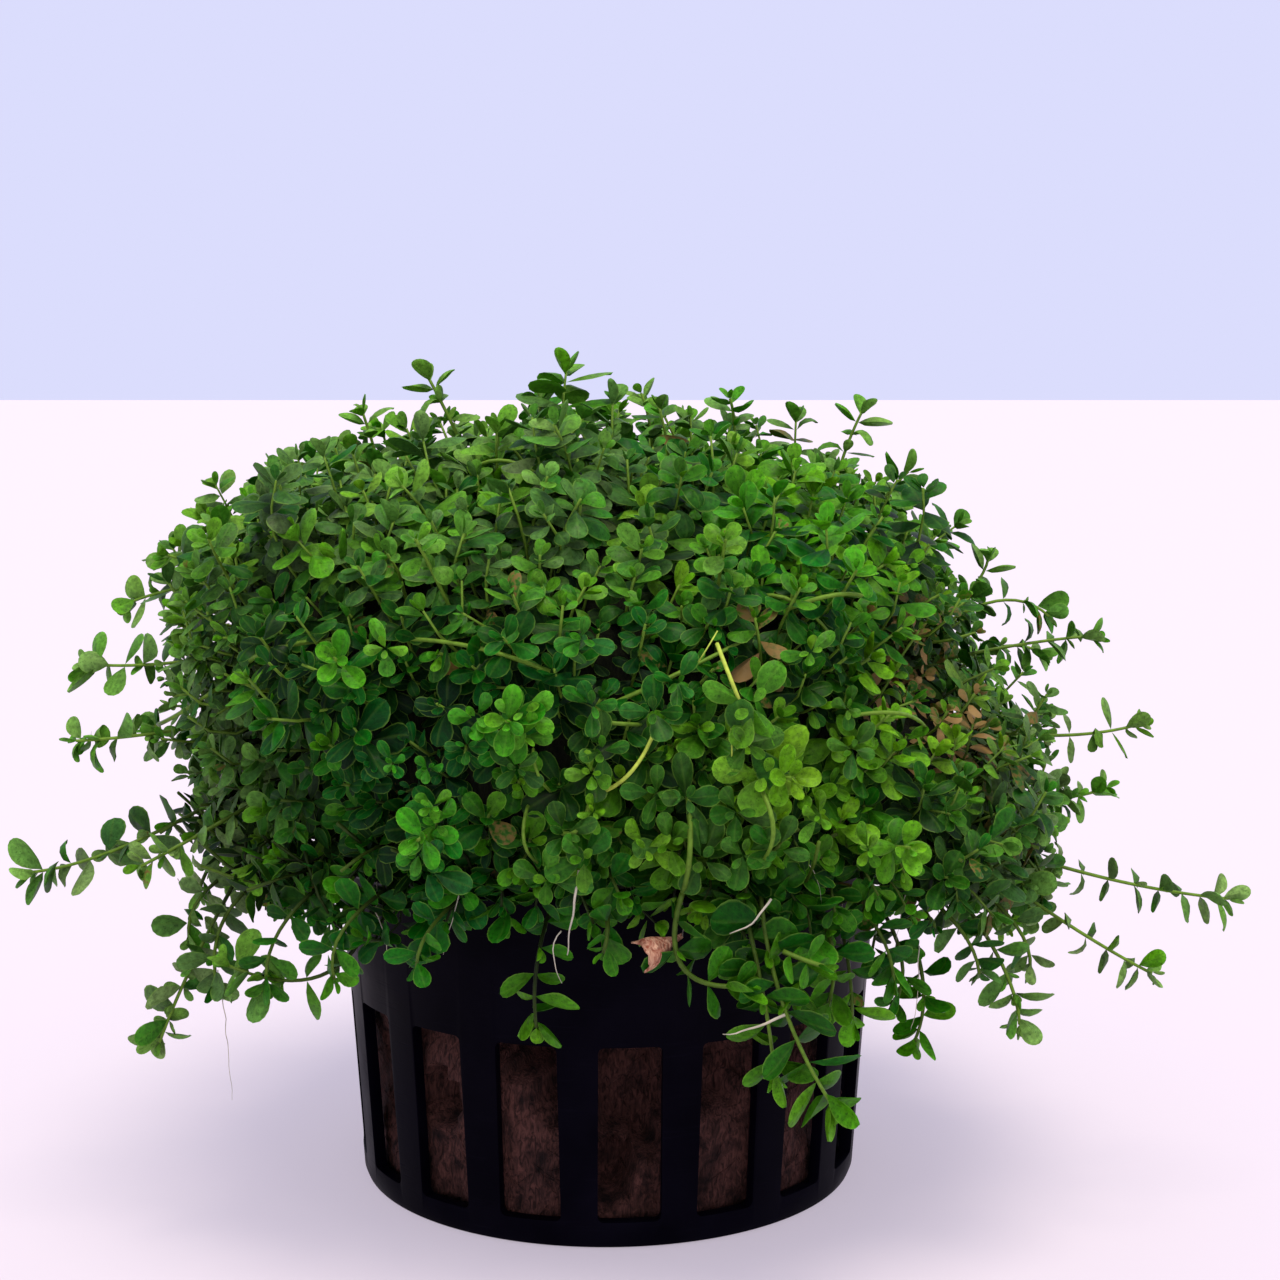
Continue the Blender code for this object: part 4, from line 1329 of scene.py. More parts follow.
@dataclass
class Foliage:
    """The cushion: shoots all over its form, a matted heart under them, and the stems that stand clear."""

    tissue: bpy.types.Material
    bark: bpy.types.Material
    pale_bark: bpy.types.Material
    shaded_litter: bpy.types.Material
    form: CushionForm = field(default_factory=CushionForm)
    spacing: float = 2.5
    tries: int = 12000
    stem_depth: float = 9.5
    heart_depth: float = 7.5
    hollow_depth: float = 4.5
    common_leaf: float = 2.65
    front_gap: float = 3.0  # shoots nearer than this to a front leaf stay low
    front_low: float = -1.4  # how far off the form the ends of those are
    cover_gap: float = 2.8  # how near to a front leaf another one may cover it
    cover_depth: float = 0.9
    runner_gap: float = 8.5
    heart_hem: float = 33.0  # least height of the heart's side, above its neck
    heart_neck: float = 28.6
    heart_lump: float = 2.2
    heart_rough: float = 1.6
    skirt_top: float = 37.0  # shoots under this height may hang
    long_share: float = 0.16  # share of shoots that reach further than the others
    sway: float = 0.42
    stem_radius: float = 0.19
    back_radius: float = 0.21
    rosette_radius: float = 0.18
    sectors: int = 10
    runners: int = 22
    seed: int = 11
    front_light: Vector = field(default_factory=lambda: Vector((0.0, -0.85, 0.5)))
    side_light: Vector = field(default_factory=lambda: Vector((0.0, -0.25, 0.8)))
    view_light: Vector = field(default_factory=lambda: Vector((0.0, -0.9, 0.6)))

    def __post_init__(self) -> None:
        """Makes the blades and the search tree over the form."""
        self.grower = Grower(self.seed)
        self.chance = random.Random(self.seed + 1)
        self.common = LeafMaker(LeafPattern(), LeafPattern(rows=4))
        self.fine = LeafMaker(LeafPattern(rows=8, columns=4), LeafPattern())
        self.skin = BVHTree.FromBMesh(self.form.skin())
        front = Grower(self.seed + 2)
        self.front_leaves = [leaf for row in FRONT_TIPS for leaf in self.front_tip(front, *row)]
        self.front_tree = KDTree(len(self.front_leaves))
        for number, leaf in enumerate(self.front_leaves):
            self.front_tree.insert(leaf.middle(), number)
        self.front_tree.balance()

    def front_tip(
        self, grower: Grower, x: float, z: float, turn: float, longest: float, age: float
    ) -> list[Leaf]:
        """Grows a shoot's tip that faces the viewpoint.

        Args:
            grower: What makes its leaves.
            x: Its x on the reading plane, in mm.
            z: Its height there, in mm.
            turn: Which way its outer pair runs, in degrees from level.
            longest: Common length of its outer leaves, in mm.
            age: Their age.

        Returns:
            The leaves of its crossed pairs.
        """
        vary = grower.chance.uniform
        leaves = []
        for step, (size, older, *forms) in enumerate(FRONT_PAIRS):
            for half, form in zip((0, 180), forms):
                heading = math.radians(turn + 90 * step + half + vary(-30, 30))
                start = longest * size * vary(0.0, 0.25)
                stop = start + longest * size * vary(0.65, 1.15)
                lift = 1.2 + 0.35 * step
                side, rise = math.cos(heading), math.sin(heading)
                foot = self.in_view(x + side * start, z + rise * start, lift)
                end = self.in_view(x + side * stop, z + rise * stop, lift + vary(0.3, 1.3))
                width = longest * size * vary(0.48, 0.66)
                leaves.append(grower.placed(foot, end, width, age + older, form))
        return leaves

    def in_view(self, x: float, z: float, lift: float) -> Vector:
        """Finds the place on the form that is seen behind a point of the reading plane.

        Args:
            x: The point's x, in mm.
            z: Its height, in mm.
            lift: How far the place is moved off the form, towards the viewpoint.

        Returns:
            The place in mm.
        """
        eye = Vector(VIEWPOINT)
        sight = (Vector((x, READING_PLANE, z)) - eye).normalized()
        place, _, _, _ = self.skin.ray_cast(eye, sight)
        return place - sight * lift

    def shoot_route(self, place: Vector, normal: Vector) -> Route:
        """Where a shoot runs from the heart to a place on the form.

        Args:
            place: The place on the form, in mm.
            normal: The direction outward there.

        Returns:
            A route that bends up to the light on the dome, and hangs a little on the skirt.
        """
        vary = self.chance.uniform
        low = place.z < self.skirt_top
        loose = self.looseness(place)
        reach = vary(-2.6 - loose, 1.2 + 0.7 * loose)
        reach += vary(0.5, 3.0) if self.chance.random() < self.long_share else 0.0
        reach += (1.3 + 0.8 * loose) * noise.noise(place / 5.0 + Vector((5.0, 9.0, 2.0)))
        for *centre, size in HOLLOWS:
            reach -= self.hollow_depth * math.exp(-(((place - Vector(centre)).length / size) ** 2))
        if self.front_tree.find(place)[2] < self.front_gap:
            reach = min(reach, self.front_low)
        lift = -0.35 if low and self.chance.random() < 0.6 else 0.45
        sway = Vector((vary(-1, 1), vary(-1, 1), vary(-1, 1)))
        heading = (normal + UP * lift + sway * self.sway).normalized()
        tip = place + normal * reach
        foot = place - normal * self.stem_depth * vary(0.8, 1.1) + sway.cross(normal) * 3.0 - UP * 1.0
        bend = tip - heading * (tip - foot).length * 0.45 - normal * 0.6
        return Route(foot, bend, tip, steps=12)

    @staticmethod
    def looseness(place: Vector) -> float:
        """How loosely shoots stand at a place, from 0 on the front to 1 at the crown and on the right."""
        return max(smooth_step(place.z, 54, 64), smooth_step(place.x, 20, 34) * smooth_step(place.z, 40, 50))

    def habit_at(self, place: Vector, normal: Vector, vigour: Vigour) -> Habit:
        """How a shoot of the cushion carries its leaves.

        Args:
            place: Its place on the form, in mm.
            normal: The direction outward there.
            vigour: How leaves grow there.

        Returns:
            The habit.
        """
        loose = self.looseness(place)
        side = smooth_step(abs(place.x), 20, 34)
        longest = self.common_leaf * vigour.size * self.chance.uniform(0.74, 1.26) * (1 + 0.14 * loose)
        arched = 0.14 + 0.42 * loose + 0.14 * side
        light = self.light_at(place, normal)
        return Habit(longest, 0.12, light, arched, 1.0 + 0.08 * loose, 1 + 0.06 * loose)

    def grow_cushion(self) -> tuple[list[Leaf], list[Strand]]:
        """Grows the shoots all over the form.

        Returns:
            Their leaves and their stems.
        """
        leaves: list[Leaf] = []
        strands: list[Strand] = []
        for place, normal in scattered(self.form.skin(), self.spacing, self.tries, self.chance):
            route = self.shoot_route(place, normal)
            vigour = vigour_at(place)
            draw = self.chance.random()
            if draw < 0.22:
                vigour = replace(vigour, age=vigour.age - 0.30, warmth=vigour.warmth + 0.08, decay=0.0)
                vigour = replace(vigour, size=vigour.size * 1.12, painted_haze=vigour.painted_haze * 0.6)
            elif draw > 0.75:
                vigour = replace(vigour, age=vigour.age + 0.20, size=vigour.size * 0.94)
            habit = self.habit_at(place, normal, vigour)
            leaves += self.grower.leaves_along(route, SHOOT_PAIRS, vigour, habit)
            strands.append(stem_strand(route, 0.16, 0.11, 2.4))
        for *ends, longest in HANGERS:
            route, grown = self.hanging_tip(ends, longest)
            leaves += grown
            strands.append(stem_strand(route, 0.22, 0.15, 1.0))
        leaves = [leaf for leaf in leaves if not self.in_clearing(leaf) and not self.in_the_way(leaf)]
        leaves += self.front_leaves
        for *ends, longest in SPRIGS:
            route, grown = self.hanging_tip(ends, longest)
            leaves += grown
            strands.append(stem_strand(route, 0.21, 0.18, 0.5))
        return leaves, strands

    def hanging_tip(self, ends: Sequence[Sequence[float]], longest: float) -> tuple[Route, list[Leaf]]:
        """Grows a leafy tip that hangs in front of the cushion.

        Args:
            ends: Its foot, bend and tip, in mm.
            longest: Its longest leaf, in mm.

        Returns:
            Its route and its leaves.
        """
        route = Route(*ends, steps=12)
        habit = Habit(longest, 0.1, self.front_light, 0.15, breadth=1.08)
        return route, self.grower.leaves_along(route, STEM_PAIRS, vigour_at(Vector(ends[-1])), habit)

    @staticmethod
    def in_clearing(leaf: Leaf) -> bool:
        """True for a leaf that would hang in front of a place which is in clear view."""
        tip = leaf.foot + leaf.along.normalized() * leaf.length * 0.6
        return any((tip - Vector(centre)).length < reach for *centre, reach in CLEARINGS)

    def in_the_way(self, leaf: Leaf) -> bool:
        """True for a leaf that would cover one of the front leaves."""
        middle = leaf.middle()
        for _, number, _ in self.front_tree.find_range(middle, self.cover_gap):
            shown = self.front_leaves[number]
            apart = shown.middle() - middle
            if Vector((apart.x, apart.z)).length < 0.8 + 0.4 * shown.length and apart.y > -self.cover_depth:
                return True
        return False

    def buried(self, end: Vector, bend: Vector) -> Vector:
        """Carries the end of a creeping stem on, to where the shoots hide it."""
        _, facing, _, _ = self.skin.find_nearest(end)
        return end + (end - bend) * 0.25 - facing * 1.8

    def light_at(self, place: Vector, normal: Vector) -> Vector:
        """Where blades turn to at a place: outward and up, and on the front half to the front as well."""
        if place.y > 12:
            return (normal + UP) * 0.4
        crown = smooth_step(place.z, 48, 60)
        turn = normal * (0.3 - 0.15 * crown) + UP * (0.35 - 0.15 * crown)
        return turn + self.front_light * (0.35 + 0.3 * crown)

    def grow_runners(self) -> tuple[list[Leaf], list[Strand]]:
        """Grows stems that creep over the surface between the shoots.

        Returns:
            Their leaves and their stems.
        """
        leaves: list[Leaf] = []
        strands: list[Strand] = []
        tries = self.runners * 6
        starts = scattered(self.form.skin(), self.runner_gap, tries, self.chance)[: self.runners]
        for place, normal in starts:
            vary = self.chance.uniform
            along = (normal.orthogonal() * vary(-1, 1) + normal.cross(normal.orthogonal()) * vary(-1, 1))
            along = along.normalized() * vary(4, 8)
            depth = vary(1.5, 3.5)
            ends = []
            for share in (-1.0, 0.0, 1.0):
                near, facing, _, _ = self.skin.find_nearest(place + along * share)
                ends.append(near - facing * (depth if share else depth - 0.7))
            route = Route(*ends, steps=16)
            vigour = vigour_at(place)
            pairs = [Pair(back, 0.85, 80, 0.3) for back in (0.8, 3.4, 6.2, 9.0, 12.0) if back < route.length]
            habit = Habit(self.common_leaf * vigour.size, 0.5, self.light_at(place, normal))
            leaves += self.grower.leaves_along(route, pairs, vigour, habit)
            strands.append(stem_strand(route, 0.18, 0.14, 1.0))
        for foot, bend, tip, radius in CREEPERS.values():
            middle = Vector(bend)
            route = Route(self.buried(Vector(foot), middle), middle, self.buried(Vector(tip), middle))
            strands.append(stem_strand(route, radius, radius * 0.9, 0.8))
        return leaves, strands

    def add_cushion(self) -> None:
        """Adds the shoots' leaves in sectors, and all of their stems."""
        leaves, strands = self.grow_cushion()
        more_leaves, more_strands = self.grow_runners()
        sorted_leaves: list[list[Leaf]] = [[] for _ in range(self.sectors)]
        for leaf in leaves + more_leaves:
            azimuth = math.atan2(leaf.foot.x, -leaf.foot.y) % math.tau
            sorted_leaves[int(azimuth / math.tau * self.sectors) % self.sectors].append(leaf)
        for number, group in enumerate(sorted_leaves, start=1):
            mesh = self.common.joined(f"cushion_leaves_{number}", group)
            add_piece(mesh.name, mesh, [self.tissue], ["leafy_cushion"])
        mesh = strand_mesh("cushion_stems", strands + more_strands, 0)
        add_piece("cushion_stems", mesh, [self.bark], ["leafy_cushion"])
        pale = [stem_strand(Route(*ends), size, size * 0.9, 0.5) for *ends, size in PALE_CREEPERS.values()]
        mesh = strand_mesh("pale_stems", pale, 1)
        add_piece("pale_stems", mesh, [self.pale_bark], ["leafy_cushion"])

    def add_heart(self) -> None:
        """Adds the matted old growth that fills the cushion under its shoots, near black to paint the deep
        shade among them.
        """
        shape = self.form.skin(self.heart_depth, self.heart_hem)
        rim = [edge for edge in shape.edges if edge.is_boundary]
        neck = bmesh.ops.extrude_edge_only(shape, edges=rim)["geom"]
        for vert in (item for item in neck if isinstance(item, bmesh.types.BMVert)):
            vert.co.z = self.heart_neck
        bmesh.ops.contextual_create(shape, geom=[edge for edge in shape.edges if edge.is_boundary])
        bmesh.ops.triangulate(shape, faces=[face for face in shape.faces if len(face.verts) > 4])
        bmesh.ops.recalc_face_normals(shape, faces=shape.faces)
        shape.normal_update()
        moves = {}
        for vert in shape.verts:
            moves[vert] = vert.normal * self.heart_rough * noise.noise(vert.co / self.heart_lump)
        for vert, move in moves.items():
            vert.co += move
        mesh = finished("matted_heart", shape, NO_SHARP)
        add_piece("matted_heart", mesh, [self.shaded_litter], ["leafy_cushion"])

    def add_stem(self, name: str, route: Route, pairs: Sequence[Pair], habit: Habit, radius: float) -> None:
        """Adds one stem that stands clear of the cushion, with its leaves.

        Args:
            name: The CAD node that it replaces.
            route: Its route.
            pairs: Its pairs of leaves.
            habit: How it carries them.
            radius: The stem's radius at its foot, in mm.
        """
        base = vigour_at(route.points[-1])
        vigour = replace(base, age=min(base.age, 0.3) - 0.2, decay=base.decay * 0.3, size=1.0)
        kept = [pair for pair in pairs if pair.back * habit.stretch < route.length - 1.0]
        leaves = self.grower.leaves_along(route, kept, vigour, habit)
        blades = self.fine.joined(f"{name}_leaves", leaves)
        tube = strand_mesh(f"{name}_tube", [stem_strand(route, radius, radius * 0.7, 0.8)], 1)
        mesh = merged(name, [blades, tube])
        add_piece(f"{name}_grown", mesh, [self.tissue, self.bark], [name])

    def habit_of(self, name: str, longest: float) -> Habit:
        """How a stem that stands clear carries its leaves, by the side that it stands on.

        Args:
            name: Its name.
            longest: Its longest leaf, in mm.

        Returns:
            The habit.
        """
        if name.startswith("stem_right"):
            return Habit(longest * 0.9, 0.06, self.side_light, 0.92, disorder=1.4, budding=0.45)
        if name.startswith("stem_top"):
            return Habit(longest * 0.95, 0.03, self.side_light, 0.9, budding=0.4)
        if name.startswith("stem_left"):
            return Habit(longest * 0.92, 0.05, self.view_light, 0.4, 0.8, 1.1, disorder=2.0, budding=0.5)
        return Habit(longest, 0.05, self.front_light, 0.2, breadth=1.06)

    def add_stems(self) -> None:
        """Adds the stems that reach out of the cushion at the sides, the top, the front and behind."""
        for name, (points, longest) in STEMS.items():
            self.add_stem(name, Route(*points), STEM_PAIRS, self.habit_of(name, longest), self.stem_radius)
        for number, route in enumerate(self.back_routes(), start=1):
            habit = Habit(3.0, 0.05, UP * 0.6, 0.4)
            self.add_stem(f"stem_back_{number}", route, STEM_PAIRS, habit, self.back_radius)
        for name, (azimuth, height, longest) in ROSETTES.items():
            turn = math.radians(azimuth)
            outward = Vector((math.sin(turn), -math.cos(turn), 0.0))
            place, normal, _, _ = self.skin.ray_cast(outward * 80 + UP * height, -outward)
            tip = place + normal * 3.2 + UP * 0.6
            route = Route(place - normal * 6 - UP * 2, place - normal * 1.2 - UP * 0.4, tip)
            habit = Habit(longest, 0.05, self.front_light, 0.15)
            self.add_stem(name, route, ROSETTE_PAIRS, habit, self.rosette_radius)

    def back_routes(self) -> list[Route]:
        """Routes of the stems behind, evenly spread and by turns higher and lower."""
        routes = []
        for index in range(BACK_STEMS):
            azimuth = math.radians(BACK_FIRST + (BACK_LAST - BACK_FIRST) * index / (BACK_STEMS - 1))
            lift = UP * BACK_STAGGER * (index % 2)
            outward = Vector((math.cos(azimuth), math.sin(azimuth), 0.0))
            first, last = (outward * radius + UP * height + lift for radius, height in BACK_ENDS)
            routes.append(Route(first, (first + last) / 2 + UP * BACK_RISE, last))
        return routes


def lathe(outline: Sequence[tuple[float, float]], steps: int) -> bmesh.types.BMesh:
    """Turns an outline about Z.

    Args:
        outline: Radius and height of each point, in mm, from the axis round to the axis.
        steps: Steps of the full turn.

    Returns:
        A closed bmesh in mm with its faces outwards.
    """
    shape = turned([Vector((radius, 0.0, height)) for radius, height in outline], steps)
    bmesh.ops.recalc_face_normals(shape, faces=shape.faces)
    return shape


def finished(name: str, shape: bmesh.types.BMesh, sharp: float = 40.0) -> bpy.types.Mesh:
    """Turns a bmesh in mm to a mesh in metres, smooth but for its sharp edges.

    Args:
        name: The mesh's name.
        shape: The bmesh, which is freed.
        sharp: Edges that turn by more degrees than this stay sharp.

    Returns:
        The mesh.
    """
    bmesh.ops.scale(shape, verts=shape.verts, vec=(MM, MM, MM))
    mesh = bpy.data.meshes.new(name)
    shape.to_mesh(mesh)
    shape.free()
    mesh.shade_smooth()
    mesh.set_sharp_from_angle(angle=math.radians(sharp))
    return mesh


@dataclass
class NetPot:
    """The slotted pot, in mm."""

    plastic: bpy.types.Material
    height: float = 31.0
    base_radius: float = 22.5
    top_radius: float = 24.6
    wall: float = 1.1
    floor: float = 1.3
    foot_round: float = 0.7
    lip_radius: float = 26.6
    lip_depth: float = 1.1
    slots: int = 17
    slot_width: float = 5.3
    slot_bottom: float = 2.4
    slot_top: float = 17.6
    slot_phase: float = 5.2
    slot_round: float = 0.5
    cutter_depth: float = 8.0
    lip_round: float = 0.3
    foot_rise: float = 0.2
    edge_round: float = 0.16
    steps: int = 204

    def radius_at(self, height: float) -> float:
        """Outer radius of the tapered wall at a height."""
        return self.base_radius + (self.top_radius - self.base_radius) * height / self.height

    def cutters(self) -> bpy.types.Object:
        """Makes the boxes that cut the slots, with rounded upright corners."""
        shape = bmesh.new()
        middle = Vector((0.0, -self.base_radius, (self.slot_top + self.slot_bottom) / 2))
        size = (self.slot_width, self.cutter_depth, self.slot_top - self.slot_bottom)
        for index in range(self.slots):
            box = bmesh.ops.create_cube(shape, size=1.0)["verts"]
            bmesh.ops.scale(shape, verts=box, vec=size)
            level = [
                edge
                for edge in {edge for vert in box for edge in vert.link_edges}
                if abs(edge.verts[0].co.y - edge.verts[1].co.y) > 1
            ]
            rounded = bmesh.ops.bevel(
                shape,
                geom=level,
                offset=self.slot_round,
                segments=4,
                profile=0.5,
                affect="EDGES",
                material=-1,
            )["verts"]
            verts = list({*rounded, *(vert for vert in box if vert.is_valid)})
            bmesh.ops.translate(shape, verts=verts, vec=middle)
            turn = Matrix.Rotation(math.radians(self.slot_phase + index * 360 / self.slots), 3, "Z")
            bmesh.ops.rotate(shape, verts=verts, cent=(0, 0, 0), matrix=turn)
        guide = bpy.data.objects.new("slot_cutters", finished("slot_cutters", shape))
        bpy.context.scene.collection.objects.link(guide)
        return guide

    def build(self) -> bpy.types.Mesh:
        """Turns the cup, cuts its slots and rounds its edges."""
        lip_bottom = self.height - self.lip_depth
        inner = self.top_radius - self.wall
        shape = lathe(
            (
                (0.0, 0.0),
                (self.base_radius - self.foot_round, 0.0),
                (self.radius_at(self.foot_round) - self.foot_rise, self.foot_rise),
                (self.radius_at(self.foot_round), self.foot_round),
                (self.radius_at(lip_bottom), lip_bottom),
                (self.lip_radius - self.lip_round, lip_bottom),
                (self.lip_radius, lip_bottom + self.lip_round),
                (self.lip_radius, self.height - self.lip_round),
                (self.lip_radius - self.lip_round, self.height),
                (inner, self.height),
                (self.radius_at(self.floor) - self.wall, self.floor),
                (0.0, self.floor),
            ),
            self.steps,
        )
        guide = bpy.data.objects.new("pot_guide", finished("pot_guide", shape))
        bpy.context.scene.collection.objects.link(guide)
        cutters = self.cutters()
        cut = guide.modifiers.new("slots", "BOOLEAN")
        cut.operation = "DIFFERENCE"
        cut.solver = "EXACT"
        cut.object = cutters
        soft = guide.modifiers.new("edges", "BEVEL")
        soft.width = self.edge_round * MM
        soft.segments = 2
        soft.limit_method = "ANGLE"
        soft.angle_limit = math.radians(50)
        soft.use_clamp_overlap = True
        mesh = bpy.data.meshes.new_from_object(guide.evaluated_get(bpy.context.evaluated_depsgraph_get()))
        for spent in (guide, cutters):
            bpy.data.objects.remove(spent, do_unlink=True)
        mesh.materials.clear()
        mesh.shade_smooth()
        mesh.set_sharp_from_angle(angle=math.radians(35))
        return mesh

    def add(self) -> None:
        """Adds the pot."""
        add_piece("slotted_pot", self.build(), [self.plastic], ["net_pot"])


@dataclass
class WoolPlug:
    """The block of mineral wool in the pot, in mm."""

    wool: bpy.types.Material
    pot: NetPot
    top: float = 28.0
    gap: float = 0.35
    rings: int = 40
    steps: int = 220
    fibres: int = 420
    fibre_points: int = 6
    fibre_zone: tuple[float, float] = (2.5, 18.0)
    fibre_limits: tuple[float, float] = (2.0, 19.0)
    seed: int = 23
    hollows: tuple[tuple[float, float, float, float], ...] = (
        (-17.0, 16.5, 3.0, 6.0),
        (-11.0, 13.5, 2.2, 5.0),
        (-42.0, 11.0, 2.6, 5.0),
        (0.5, 6.0, 3.0, 5.5),
        (-60.0, 13.0, 2.4, 5.0),
        (-56.0, 7.0, 2.6, 4.5),
        (21.0, 16.5, 2.0, 4.0),
        (5.2, 12.0, 5.5, 6.0),
        (26.4, 14.0, 4.0, 4.0),
        (47.0, 15.0, 3.0, 5.0),
        (96.0, 15.0, 3.4, 5.0),
        (140.0, 8.0, 3.6, 5.0),
        (188.0, 14.0, 4.0, 5.0),
        (246.0, 10.0, 3.8, 5.0),
    )  # azimuth from the front in degrees, height, reach and depth

    def surface_radius(self, azimuth: float, height: float) -> float:
        """Radius of the wool's rough side.

        Args:
            azimuth: Angle from the front, in radians.
            height: Height in mm.

        Returns:
            The radius in mm.
        """
        radius = self.pot.radius_at(height) - self.pot.wall - self.gap
        place = Vector((radius * math.sin(azimuth), -radius * math.cos(azimuth), height))
        rough = 0.55 * abs(noise.noise(place / 1.1)) + 0.35 * abs(noise.noise(place / 0.5))
        slump = 1.6 * max(0.0, noise.noise(place / 7.0) + 0.05)
        deep = 0.0
        for turn, level, reach, depth in self.hollows:
            angle = math.radians(turn)
            spot = Vector((radius * math.sin(angle), -radius * math.cos(angle), level))
            ragged = reach * (1 + 0.45 * noise.noise(place / 1.7))
            deep = max(deep, depth * (1 - smooth_step((place - spot).length / ragged, 0.65, 1.1)))
        return radius - rough - slump - deep

    def build(self) -> bpy.types.Mesh:
        """Turns the block and roughens its side."""
        bottom = self.pot.floor + self.gap
        outline = [(0.0, bottom)]
        for ring in range(self.rings + 1):
            height = bottom + (self.top - bottom) * ring / self.rings
            outline.append((self.pot.radius_at(height) - self.pot.wall - self.gap, height))
        outline.append((0.0, self.top))
        shape = lathe(outline, self.steps)
        for vert in shape.verts:
            side = vert.co.xy.length
            if side > self.pot.base_radius / 2:
                rough = self.surface_radius(math.atan2(vert.co.x, -vert.co.y), vert.co.z)
                vert.co.xy *= rough / side
        return finished("wool", shape, NO_SHARP)

    def loose_fibres(self) -> list[Strand]:
        """Short fibres that lie on the wool's side."""
        chance = random.Random(self.seed)
        strands = []
        for _ in range(self.fibres):
            azimuth, height = chance.uniform(0, math.tau), chance.uniform(*self.fibre_zone)
            slope, length = chance.uniform(-1.4, 1.4), chance.uniform(1.2, 4.2)
            bow = chance.uniform(-0.25, 0.25)
            points = []
            for step in range(self.fibre_points):
                share = step / (self.fibre_points - 1) - 0.5
                turn = azimuth + math.cos(slope) * length * share / self.pot.base_radius
                level = height + math.sin(slope) * length * share + bow * (1 - 4 * share**2)
                level = min(max(level, self.fibre_limits[0]), self.fibre_limits[1])
                radius = self.surface_radius(turn, level) + chance.uniform(0.0, 0.12)
                points.append(Vector((radius * math.sin(turn), -radius * math.cos(turn), level)))
            strands.append(Strand(points, [chance.uniform(0.03, 0.055)] * self.fibre_points))
        return strands

    def add(self) -> None:
        """Adds the wool and its loose fibres."""
        add_piece("mineral_wool_block", self.build(), [self.wool], ["wool_plug"])
        mesh = strand_mesh("mineral_wool_fibres", self.loose_fibres(), 0)
        add_piece("mineral_wool_fibres", mesh, [self.wool], ["wool_plug"])


@dataclass
class WitheredLeaf:
    """A curled dead leaf that hangs at the front of the lip, in mm."""

    tissue: bpy.types.Material
    length: float = 3.7
    width: float = 4.7
    thickness: float = 0.14
    curl: float = math.radians(235)
    middle: tuple[float, float, float] = (4.5, -37.4, 29.7)
    lean: float = math.radians(-17)
    turn: float = math.radians(32)  # its mouth looks to the left and the front

    def add(self) -> None:
        """Rolls a crumpled blade, gives it thickness and adds it."""
        shape = bmesh.new()
        bmesh.ops.create_grid(shape, x_segments=26, y_segments=14, size=0.5)
        for vert in shape.verts:
            along, across = vert.co.x + 0.5, vert.co.y * 2
            broad = (1 - 0.86 * smooth_step(along, 0.2, 0.95)) * self.width / 2
            angle = across * self.curl / 2
            radius = broad / (self.curl / 2)
            ragged = 1.1 * noise.noise(Vector((across * 3.1, 7.0, 0.0))) * (1 - along) ** 2
            place = Vector(((along - 0.5) * self.length + ragged, 0.0, 0.0))
            place.y = -radius * math.cos(angle) + 0.5 * (along - 0.5) ** 2
            place.z = radius * math.sin(angle) * (1 - 0.25 * along)
            crumple = noise.noise(Vector((along * 5, across * 2.2, 1.0)))
            vert.co = place * (1 + 0.3 * crumple)
        stance = Matrix.Rotation(self.turn, 3, "Z") @ Matrix.Rotation(self.lean, 3, "Y")
        bmesh.ops.rotate(shape, verts=shape.verts, cent=(0, 0, 0), matrix=stance)
        bmesh.ops.translate(shape, verts=shape.verts, vec=self.middle)
        mesh = finished("withered_blade", shape, NO_SHARP)
        piece = add_piece("withered_blade", mesh, [self.tissue], ["withered_leaf"])
        wall = piece.modifiers.new("thickness", "SOLIDIFY")
        wall.thickness = self.thickness * MM
        wall.offset = 0.0


ROOTS = {
    "white": ((-1.5, -39.5, 36), (-2, -40, 33), (-2.5, -39, 29.5), 0.12),
    "cross": ((13.5, -39, 25), (11, -39.5, 24), (9, -39, 23.5), 0.13),
    "curl": ((-3, -38, 31), (-3.5, -38.5, 29.5), (-3, -38, 27), 0.07),
    "stalk": ((12.5, -38.5, 33.5), (11, -39.5, 32), (9.5, -39, 31), 0.13),
    "right": ((25, -27, 27), (25, -27.5, 24), (24.5, -27, 20), 0.05),
    "left": ((-31.5, -23, 24), (-31, -21.5, 17), (-31, -20, 12), 0.05),
    "far_left": ((-36.5, -14.5, 29.5), (-35, -15, 28.5), (-32.5, -16, 27.5), 0.05),
}  # foot, bend, tip and radius in mm


